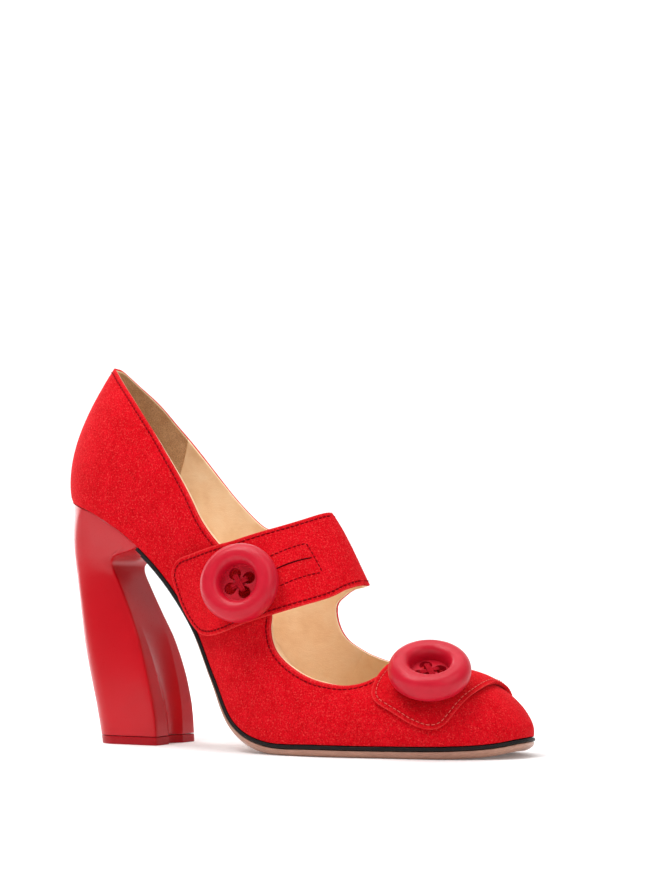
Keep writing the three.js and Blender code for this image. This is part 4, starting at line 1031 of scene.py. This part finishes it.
def button_profile():
    """The section of the ring and its web as (radius, height), from the axis out and back."""
    middle, wide = (BUTTON_OUTER + BUTTON_INNER) / 2, (BUTTON_OUTER - BUTTON_INNER) / 2
    tall = BUTTON_THICKNESS / 2
    start = math.pi - math.asin((WEB_LOW + WEB - tall) / tall)
    stop = -math.pi - math.asin((WEB_LOW - tall) / tall)
    ring = []
    for a in np.linspace(start, stop, 56):
        out = math.cos(a)
        square = 1.0 if out > 0 else INNER_WALL_SQUARE
        ring.append((middle + wide * math.copysign(abs(out) ** square, out), tall + tall * math.sin(a)))
    web = np.linspace(0.02, ring[0][0] - 0.4, 6)
    return [(x, WEB_LOW + WEB) for x in web] + ring + [(x, WEB_LOW) for x in web[::-1]]


def make_button(name, seat, normal, body, node, thread_name):
    turn = np.array(Vector((0, 0, 1)).rotation_difference(Vector(normal)).to_matrix())

    def stand(points):
        return np.asarray(points, float) @ turn.T + seat

    around = np.linspace(0, 2 * np.pi, BUTTON_SIDES, endpoint=False)
    rings = [stand([(x * math.cos(a), x * math.sin(a), z) for a in around]) for x, z in button_profile()]
    button = ring_loft(name, rings, merge=0)
    corners = np.linspace(0, 2 * np.pi, 40, endpoint=False)
    cutter_points, cutter_faces = [], []
    for k in range(4):
        direction = THREAD_HOLE_TURN + k * math.pi / 2
        middle = THREAD_HOLE_RADIUS * np.array([math.cos(direction), math.sin(direction)])
        first = len(cutter_points)
        for z in (0.0, BUTTON_THICKNESS):
            cutter_points += [(middle[0] + THREAD_HOLE / 2 * math.cos(a),
                               middle[1] + THREAD_HOLE / 2 * math.sin(a), z) for a in corners]
        n = len(corners)
        cutter_faces += [tuple(first + v for v in face) for face in quads(2, n, wrap=True)]
        cutter_faces += [tuple(first + v for v in range(n)), tuple(first + n + v for v in reversed(range(n)))]
    cutter = mesh_piece("hole_cutter", stand(cutter_points), cutter_faces)
    modifier = button.modifiers.new("holes", "BOOLEAN")
    modifier.solver = "EXACT"
    modifier.object = cutter
    settle(button)
    bpy.data.objects.remove(cutter)
    bevel(button, 0.3, 3, 60)
    sharpen(button, 50)
    dress(button, body, PLASTIC, "button_plastic", node)

    strands = []
    web_top = WEB_LOW + WEB
    reach = THREAD_HOLE_RADIUS - STRAND_IN
    for bar in range(2):
        c, s = (f(THREAD_HOLE_TURN + bar * math.pi / 2) for f in (math.cos, math.sin))
        for offset in STRANDS_AT:
            height = web_top + STRAND_TOP + BAR_STEP * bar + 0.12 * (1 - abs(offset)) + 0.1 * rng.random()
            slant = 0.35 * (rng.random() - 0.5)
            path = []
            for u in np.linspace(-1, 1, 25):
                over = np.clip((1 - abs(u)) / 0.3, 0, 1)
                x = reach * np.sign(u) * min(1, abs(u) / 0.78)
                z = WEB_LOW + STRAND_LOW + (height - WEB_LOW - STRAND_LOW) * smooth_step(over * 1.25)
                y = offset * (1 - 0.25 * (1 - over)) + slant * u
                path.append((x * c - y * s, x * s + y * c, z))
            strands.append(stand(path))
    rise, wound = BUTTON_STAND + STEM_HIGH, STEM_TURNS * 2 * math.pi
    strands.append(stand([(STEM_RADIUS * math.cos(a), STEM_RADIUS * math.sin(a), STEM_HIGH - rise * a / wound)
                          for a in np.linspace(0, wound, STEM_TURNS * 16)]))
    axis = stand([(0, 0, z) for z in np.linspace(-BUTTON_STAND - 0.6, WEB_LOW + 0.5, 6)])
    thread = tubes(thread_name, strands, STRAND_RADIUS, 8)
    core = tubes(thread_name + "_core", [axis], STEM_CORE, 16)
    for piece in (thread, core):
        dress(piece, body, BUTTON_THREAD, "thread")
    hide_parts(node + "_thread")


def make_buttons():
    strap_lift = strap_rise(STRAP_BUTTON_AT[1])
    for name, body, at, lean, lift in (
        ("instep_button", "strap_button", STRAP_BUTTON_AT, STRAP_BUTTON_LEAN, strap_lift),
        ("toe_button", "vamp_button", VAMP_BUTTON_AT, 0, VAMP_LIFT + SUEDE),
    ):
        normal = seat_normal(at) + np.array([lean, 0, 0])
        normal /= np.linalg.norm(normal)
        seat = last_point(*at, -lift).ravel() + normal * BUTTON_STAND
        make_button(name, seat, normal, body, body, name + "_strands")


# ------------------------------------------------------------------ sole
FLAT_STRIP = 6  # each layer is flat this far in from its rounded edge
BALL_FROM, BALL_OVER = 0.45, 0.2  # the outsole thickens from the waist to the ball over these stations
OUTSOLE_STRIP, OUTSOLE_LIP, LIP_ROUND, BEVEL_POWER = 8.0, 0.25, 0.15, 2.2
WAIST_INK_END, WAIST_INK_FADE = 0.5, 0.16  # the outsole's edge is inked black back of here
INK_UNDER, INK_FADE_RISE = 0.5, 1.7  # the ink's middle under the edge's top, and how far it rises as it fades
FILLER_FROM, FILLER_TO, FILLER_HIGH, FILLER_LOW, FILLER_MARGIN = 0.566, 0.93, 2.8, 0.4, 12.0


def along_sole(start, middle=90, end=26):
    toe = TOE_ROUND + (1 - TOE_ROUND) * np.sin(np.pi / 2 * np.linspace(0, 1, end))
    return np.concatenate([np.linspace(start, TOE_ROUND, middle)[:-1], toe])


def sole_sweep(name, stations, profile, floor=None):
    """A piece that follows the sole. profile(t) gives (margin, level) points from its top round the edge to
    its bottom."""
    rings = []
    for t in stations:
        points = profile(t)
        outer = [sole_point(-1, t, m, level) for m, level in points]
        inner = [sole_point(1, t, m, level) for m, level in reversed(points)]
        ring = np.array(outer + inner)
        if floor is not None:
            ring[:, 2] = np.maximum(ring[:, 2], floor)
        rings.append(ring)
    piece = ring_loft(name, rings)
    return sharpen(piece, 50)


def rounded_edge(margin, high, low, radius):
    """The edge of a sole layer, rounded above and below."""
    turn = np.linspace(0, math.pi / 2, 5)
    points = [(margin + FLAT_STRIP, high)]
    points += [(margin + radius * (1 - math.sin(a)), high - radius * (1 - math.cos(a))) for a in turn]
    points += [(margin + radius * (1 - math.cos(a)), low + radius * (1 - math.sin(a))) for a in turn]
    return points + [(margin + FLAT_STRIP, low)]


def outsole_profile(t):
    flat = min(1.0, max(0.0, (t - BALL_FROM) / BALL_OVER))
    ball = float(smooth_step(flat))
    top = -GAP - RAND - GAP
    thick = OUTSOLE_WAIST + (OUTSOLE_BALL - OUTSOLE_WAIST) * ball
    low = top - thick - GROUND_FLAT * flat
    points = [(OUTSOLE_STRIP, top), (EDGE_OUT + OUTSOLE_LIP, top), (EDGE_OUT, top - LIP_ROUND)]
    for u in np.linspace(0, 1, 8)[1:]:
        margin = EDGE_OUT + (OUTSOLE_BEVEL - EDGE_OUT) * u**BEVEL_POWER
        points.append((margin, top - LIP_ROUND + (low - top + LIP_ROUND) * u))
    return points + [(OUTSOLE_STRIP, low)]


def make_sole():
    rand = sole_sweep("welt_edge", along_sole(SEAT_FRONT),
                      lambda t: rounded_edge(-EDGE_OUT, -GAP, -GAP - RAND, 0.25))
    dress(rand, "shoe", BLACK_EDGE, "black_edge", "sole_rand")
    outsole = sole_sweep("outsole_leather", along_sole(SEAT_FRONT + 0.015), outsole_profile, floor=0.0)
    waist = np.linspace(SEAT_FRONT, WAIST_INK_END, 60)
    rise = INK_FADE_RISE * smooth_step((waist - WAIST_INK_END + WAIST_INK_FADE) / WAIST_INK_FADE)
    levels = -2 * GAP - RAND - INK_UNDER + rise
    inked = [np.array([sole_point(side, t, EDGE_OUT, level) for t, level in zip(waist, levels)])
             for side in (-1, 1)]
    mark_edges(outsole, *inked)
    dress(outsole, "shoe", SOLE_LEATHER, "sole_leather", "outsole")
    filler = sole_sweep("cork_filler", np.linspace(FILLER_FROM, FILLER_TO, 40),
                        lambda t: rounded_edge(FILLER_MARGIN, FILLER_HIGH, FILLER_LOW, 0.6))
    dress(filler, "shoe", CORK, "foam", "bottom_filler")


SOCK_TOP, SOCK_LOW = 8.0, 5.2
SOCK_ACROSS = 25
SOCK_FRONT = 0.965
SOCK_CURL, SOCK_WAVE = 0.9, 0.16  # the height of its turned-up rim and of its unevenness
FAR_OFF = np.array([[0.0, 0.0, 500.0]])  # the sock's edge is out of sight, so none of it is marked as an edge


def make_sock():
    """The sock over its foam: it meets the lining all round and turns up a little there."""
    sides = np.linspace(-1, 1, SOCK_ACROSS)
    stations = np.concatenate([
        HEEL_ROUND * (1 - np.cos(np.linspace(0.08, np.pi / 2, 14))),
        np.linspace(HEEL_ROUND, TOE_ROUND, 80)[1:-1],
        TOE_ROUND + (SOCK_FRONT - TOE_ROUND) * np.sin(np.linspace(0, np.pi / 2, 14)),
    ])
    rings = []
    for t in stations:
        ring = []
        for level in (SOCK_TOP, SOCK_LOW):
            share = level / last_height(t)
            outer = last_point(t, share, WALL_UNDER + 0.1)
            inner = last_point(t, 2 - share, WALL_UNDER + 0.1)
            row = [outer + (inner - outer) * (v + 1) / 2 for v in sides]
            if level == SOCK_TOP:
                for v, place in zip(sides, row):
                    curl = SOCK_CURL * max(0, (abs(v) - 0.8) / 0.2) ** 2
                    place[2] += curl + SOCK_WAVE * math.sin(t * 60 + v * 5) * math.sin(v * 7 + t * 23)
            ring += row if level == SOCK_TOP else row[::-1]
        rings.append(ring)
    sock = sharpen(ring_loft("sock", rings), 60)
    subdivide = sock.modifiers.new("fine", "SUBSURF")
    subdivide.levels = subdivide.render_levels = 1
    settle(sock)
    mark_edges(sock, FAR_OFF)
    dress(sock, "shoe", SOCK_LOOK, "kid", "sock_lining", "footbed_foam")


# ------------------------------------------------------------------ heel
GROOVE_TOP, GROOVE_HALF_WIDTH, GROOVE_TOP_HALF_WIDTH = 52.0, 5.4, 9.2
GROOVE_DEPTH, GROOVE_SHALLOWEST = 3.2, 0.15
BREAST_CORNER = 0.9
HEEL_SAMPLES = 500
HEEL_EASE = (0.004, 0.007, 0.022, 0.028)  # smoothing of back, front, rear and fore, as shares of the height
BACK_SQUARE = 0.8  # below 1, the heel's back is squarer than an ellipse
PLAN_CENTRE_X = 18.0
PLAN_EASE = 2.0  # the heel eases into the outline of the shoe above it


def eased_heel():
    """The heel's levels, eased so that the lacquered sides flow without ripples."""
    up = np.linspace(0, HEEL_LEVELS[-1, 0], HEEL_SAMPLES)
    straight = np.stack([np.interp(up, HEEL_LEVELS[:, 0], HEEL_LEVELS[:, k]) for k in range(1, 5)], -1)
    smooth = through(HEEL_LEVELS[:, 0], HEEL_LEVELS[:, 1:])(up)
    step = up[1]
    eased = []
    for column, ease in zip(((straight + smooth) / 2).T, HEEL_EASE):
        reach = int(3 * ease / step) + 1
        kernel = np.exp(-0.5 * (np.arange(-reach, reach + 1) * step / ease) ** 2)
        ends = np.arange(1, reach + 1)
        before = column[0] - (column[1] - column[0]) * ends[::-1]
        after = column[-1] + (column[-1] - column[-2]) * ends
        eased.append(np.convolve(np.concatenate([before, column, after]), kernel / kernel.sum(), "valid"))
    return up, np.stack(eased, -1)


HEEL_UP, HEEL_EASED = eased_heel()


def heel_curve(up):
    return [np.interp(up, HEEL_UP, HEEL_EASED[:, k]) for k in range(4)]


def plan_reach():
    """How far the last's plan reaches from a point over the heel, by direction."""
    t = t_of(np.linspace(0, 1, 300))
    edge = np.vstack([sole_point(-1, t, 0, 0), sole_point(1, t[::-1], 0, 0)])[:, :2] - [PLAN_CENTRE_X, 0]
    angle = np.arctan2(edge[:, 1], edge[:, 0])
    order = np.argsort(angle)
    return angle[order], np.hypot(*edge[order].T)


PLAN_ANGLE, PLAN_RADIUS = plan_reach()
SEAT_T = np.linspace(0, 0.4, 200)
SEAT_LINE = sole_point(1, SEAT_T, 0, -GAP)


def heel_point(column, up):
    """A point on the heel's side at a share of its height; column names a place round the heel."""
    kind, u = column
    back, front, rear, fore = heel_curve(up)
    x0, x1, w0, w1 = back * SHOE_LENGTH, front * SHOE_LENGTH, rear * BALL_WIDTH, fore * BALL_WIDTH
    z = up * HEEL_HEIGHT
    arc = min((x1 - x0) * 0.5, w0 * 0.9)
    if kind == "back":
        a = -math.pi / 2 + u * math.pi
        x, y = x0 + arc * (1 - abs(math.cos(a)) ** BACK_SQUARE), w0 * math.sin(a)
    elif kind == "side":
        side, share = u
        x = x0 + arc + (x1 - BREAST_CORNER - x0 - arc) * share
        y = side * (w0 + (w1 - w0) * share)
    elif kind == "corner":
        side, a = u
        x = x1 - BREAST_CORNER * (1 - math.sin(a))
        y = side * (w1 - BREAST_CORNER * (1 - math.cos(a)))
    else:
        rise = max(0.0, min(1.0, (GROOVE_TOP - z) / (GROOVE_TOP + 1)))
        half = GROOVE_TOP_HALF_WIDTH + (GROOVE_HALF_WIDTH - GROOVE_TOP_HALF_WIDTH) * rise
        depth = (GROOVE_SHALLOWEST + (GROOVE_DEPTH - GROOVE_SHALLOWEST) * rise) * float(smooth_step(rise * 8))
        y = half * u if abs(u) <= 1 else math.copysign(half + (w1 - BREAST_CORNER - half) * (abs(u) - 1), u)
        x = x1
        if abs(u) < 1 and depth > 0:
            radius = (half * half + depth * depth) / (2 * depth)
            x = x1 + radius - depth - math.sqrt(radius * radius - y * y)
    away = math.hypot(x - PLAN_CENTRE_X, y)
    most = np.interp(math.atan2(y, x - PLAN_CENTRE_X), PLAN_ANGLE, PLAN_RADIUS)
    overlap = max(PLAN_EASE - abs(away - most), 0) / PLAN_EASE
    held = (min(away, most) - overlap**2 * PLAN_EASE / 4) / away
    return PLAN_CENTRE_X + (x - PLAN_CENTRE_X) * held, y * held, z


def heel_columns():
    """The places round the heel: its back, one side, the breast and the other side."""
    back = [("back", u) for u in np.linspace(0, 1, 37)]
    side = [("side", (1, u)) for u in np.linspace(0, 1, 8)[1:-1]]
    side += [("corner", (1, a)) for a in np.linspace(0, math.pi / 2, 5)]
    by_groove = (1.75, 1.5, 1.25, 1.06)
    breast = [("breast", u) for u in (*by_groove, *np.linspace(1, -1, 21), *(-u for u in reversed(by_groove)))]
    return back + side + breast + [(kind, (-1, u)) for kind, (_, u) in reversed(side)]


def seat_share(column):
    """Where a column of the heel meets the seat, as a share of the heel's height."""
    low, high = 0.6, 1.02
    for _ in range(24):
        up = (low + high) / 2
        x, _, z = heel_point(column, up)
        seat = np.interp(x, SEAT_LINE[:, 0], SEAT_LINE[:, 2])
        low, high = (up, high) if z < seat else (low, up)
    return low


HEEL_SHARES = np.concatenate([
    [0, 0.003], np.linspace(0.01, 0.68, 70)[:-1], np.linspace(0.68, 0.985, 90), [0.994, 1],
])
# Levels of the top piece, and how far each is drawn in.
TREAD_LEVELS = np.array([0, 0.12, 0.3, 1.2, 2.4, 3.1, 3.28, TOP_PIECE])
TREAD_INSETS = [0.25, 0.06, 0, 0, 0, 0, 0.05, 0.2]


def make_heel():
    columns = heel_columns()
    tops = [seat_share(column) for column in columns]
    start = (TOP_PIECE + GAP) / HEEL_HEIGHT
    rings = [[heel_point(c, start + (top - start) * u) for c, top in zip(columns, tops)] for u in HEEL_SHARES]
    heel = sharpen(ring_loft("heel", rings), 30)
    dress(heel, "shoe", LACQUER, "lacquer", "heel_block")
    rings = []
    for up, inset in zip(TREAD_LEVELS / HEEL_HEIGHT, TREAD_INSETS):
        ring = np.array([heel_point(c, up) for c in columns])
        middle = ring.mean(0)
        flat = ring - middle
        rings.append(middle + flat * (1 - inset / np.linalg.norm(flat, axis=1))[:, None])
    piece = sharpen(ring_loft("top_piece", rings), 30)
    dress(piece, "shoe", TREAD, "tread", "heel_top_piece")


# ------------------------------------------------------------------ hidden CAD parts that stay as they are
CAD_EDGE = 0.12  # width of their softened edges


def finish_cad_nodes():
    looks = {"insole_board": FIBREBOARD, "sole_plate": GOLD}
    for name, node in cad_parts.items():
        if node.hide_render:
            continue
        node.data.materials.clear()
        node.data.materials.append(looks.get(name, STEEL))
    for name in ("sole_plate", "snap_stud", "snap_socket", "steel_shank"):
        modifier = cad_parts[name].modifiers.new("soft_edge", "BEVEL")
        modifier.width = CAD_EDGE * MM
        modifier.segments = 2


# ------------------------------------------------------------------ studio
FLOOR_EMISSION, WORLD_STRENGTH = 0.1, 0.28


def make_floor():
    """A pale floor that sweeps up behind the shoe, in metres."""
    depth, rise, radius, wide = 0.9, 1.6, 0.5, 3.0
    profile = [(-2.0, 0.0), (-1.0, 0.0), (0.0, 0.0), (depth, 0.0)]
    profile += [(depth + radius * math.sin(a), radius * (1 - math.cos(a)))
                for a in np.linspace(0, math.pi / 2, 24)[1:]]
    profile.append((depth + radius, radius + rise))
    turn = Matrix.Rotation(math.radians(CAMERA_AZIMUTH), 4, "Z")
    points = [turn @ Vector((x, y, z)) for y, z in profile for x in (-wide, wide)]
    mesh = bpy.data.meshes.new("floor")
    mesh.from_pydata([tuple(p) for p in points], [], quads(len(profile), 2))
    for polygon in mesh.polygons:
        polygon.use_smooth = True
    floor = link("floor", mesh)
    n = Nodes("floor_paper", Roughness=0.9, Specular_IOR_Level=0.1)
    grain = n.noise(3.0, 3)
    n.shader.inputs["Emission Color"].default_value = (1, 1, 1, 1)
    n.shader.inputs["Emission Strength"].default_value = FLOOR_EMISSION
    floor.data.materials.append(n.finish(n.two(grain, (0.86, 0.86, 0.86), (0.9, 0.9, 0.9))))


CAMERA_AT = Vector((0.3751, -0.6648, 0.0563))
CAMERA_AZIMUTH = 28.0
CAMERA_PITCH = 5.3
CAMERA_LENS = 75.3


def make_camera():
    """The camera stands where the photograph was taken from."""
    bpy.context.scene.view_settings.view_transform = "Standard"  # AgX, the default, would grey the reds
    data = bpy.data.cameras.new("camera")
    camera = bpy.data.objects.new("camera", data)
    bpy.context.scene.collection.objects.link(camera)
    data.lens = CAMERA_LENS
    data.sensor_width = 36
    a, e = math.radians(CAMERA_AZIMUTH), math.radians(CAMERA_PITCH)
    aim = Vector((-math.sin(a) * math.cos(e), math.cos(a) * math.cos(e), math.sin(e)))
    camera.location = CAMERA_AT
    camera.rotation_mode = "QUATERNION"
    camera.rotation_quaternion = aim.to_track_quat("-Z", "Y")
    bpy.context.scene.camera = camera


def softbox(name, azimuth, elevation, distance, size, power, aim=(0, 0, 0.07)):
    """An area light, so many metres from its aim. Azimuth is measured as for a view of the shoe."""
    data = bpy.data.lights.new(name, "AREA")
    data.shape = "RECTANGLE"
    data.size, data.size_y = size
    data.energy = power
    light = bpy.data.objects.new(name, data)
    bpy.context.scene.collection.objects.link(light)
    a, e = math.radians(azimuth), math.radians(elevation)
    back = Vector((math.sin(a) * math.cos(e), -math.cos(a) * math.cos(e), math.sin(e)))
    light.location = Vector(aim) + back * distance
    light.rotation_mode = "QUATERNION"
    light.rotation_quaternion = (-back).to_track_quat("-Z", "Y")


def make_light():
    world = bpy.data.worlds.new("studio")
    bpy.context.scene.world = world
    world.use_nodes = True
    background = world.node_tree.nodes["Background"]
    background.inputs["Color"].default_value = (1, 1, 1, 1)
    background.inputs["Strength"].default_value = WORLD_STRENGTH
    softbox("key", -15, 52, 1.0, (0.4, 0.4), 4.3)
    softbox("fill", 75, 32, 1.1, (0.6, 0.9), 3)
    softbox("top", 10, 80, 1.0, (0.7, 0.5), 4.8)
    softbox("rear_left", -112, 14, 0.9, (0.6, 1.2), 8)
    softbox("backdrop", CAMERA_AZIMUTH, 32, 1.1, (1.8, 0.8), 13, aim=(-0.6, 1.15, 0.5))


# ------------------------------------------------------------------ the whole shoe
make_upper()
make_linings()
make_instep_strap()
make_vamp_strap()
make_stitching()
make_buttonhole()
make_buttons()
make_sole()
make_sock()
make_heel()
finish_cad_nodes()
make_floor()
make_camera()
make_light()
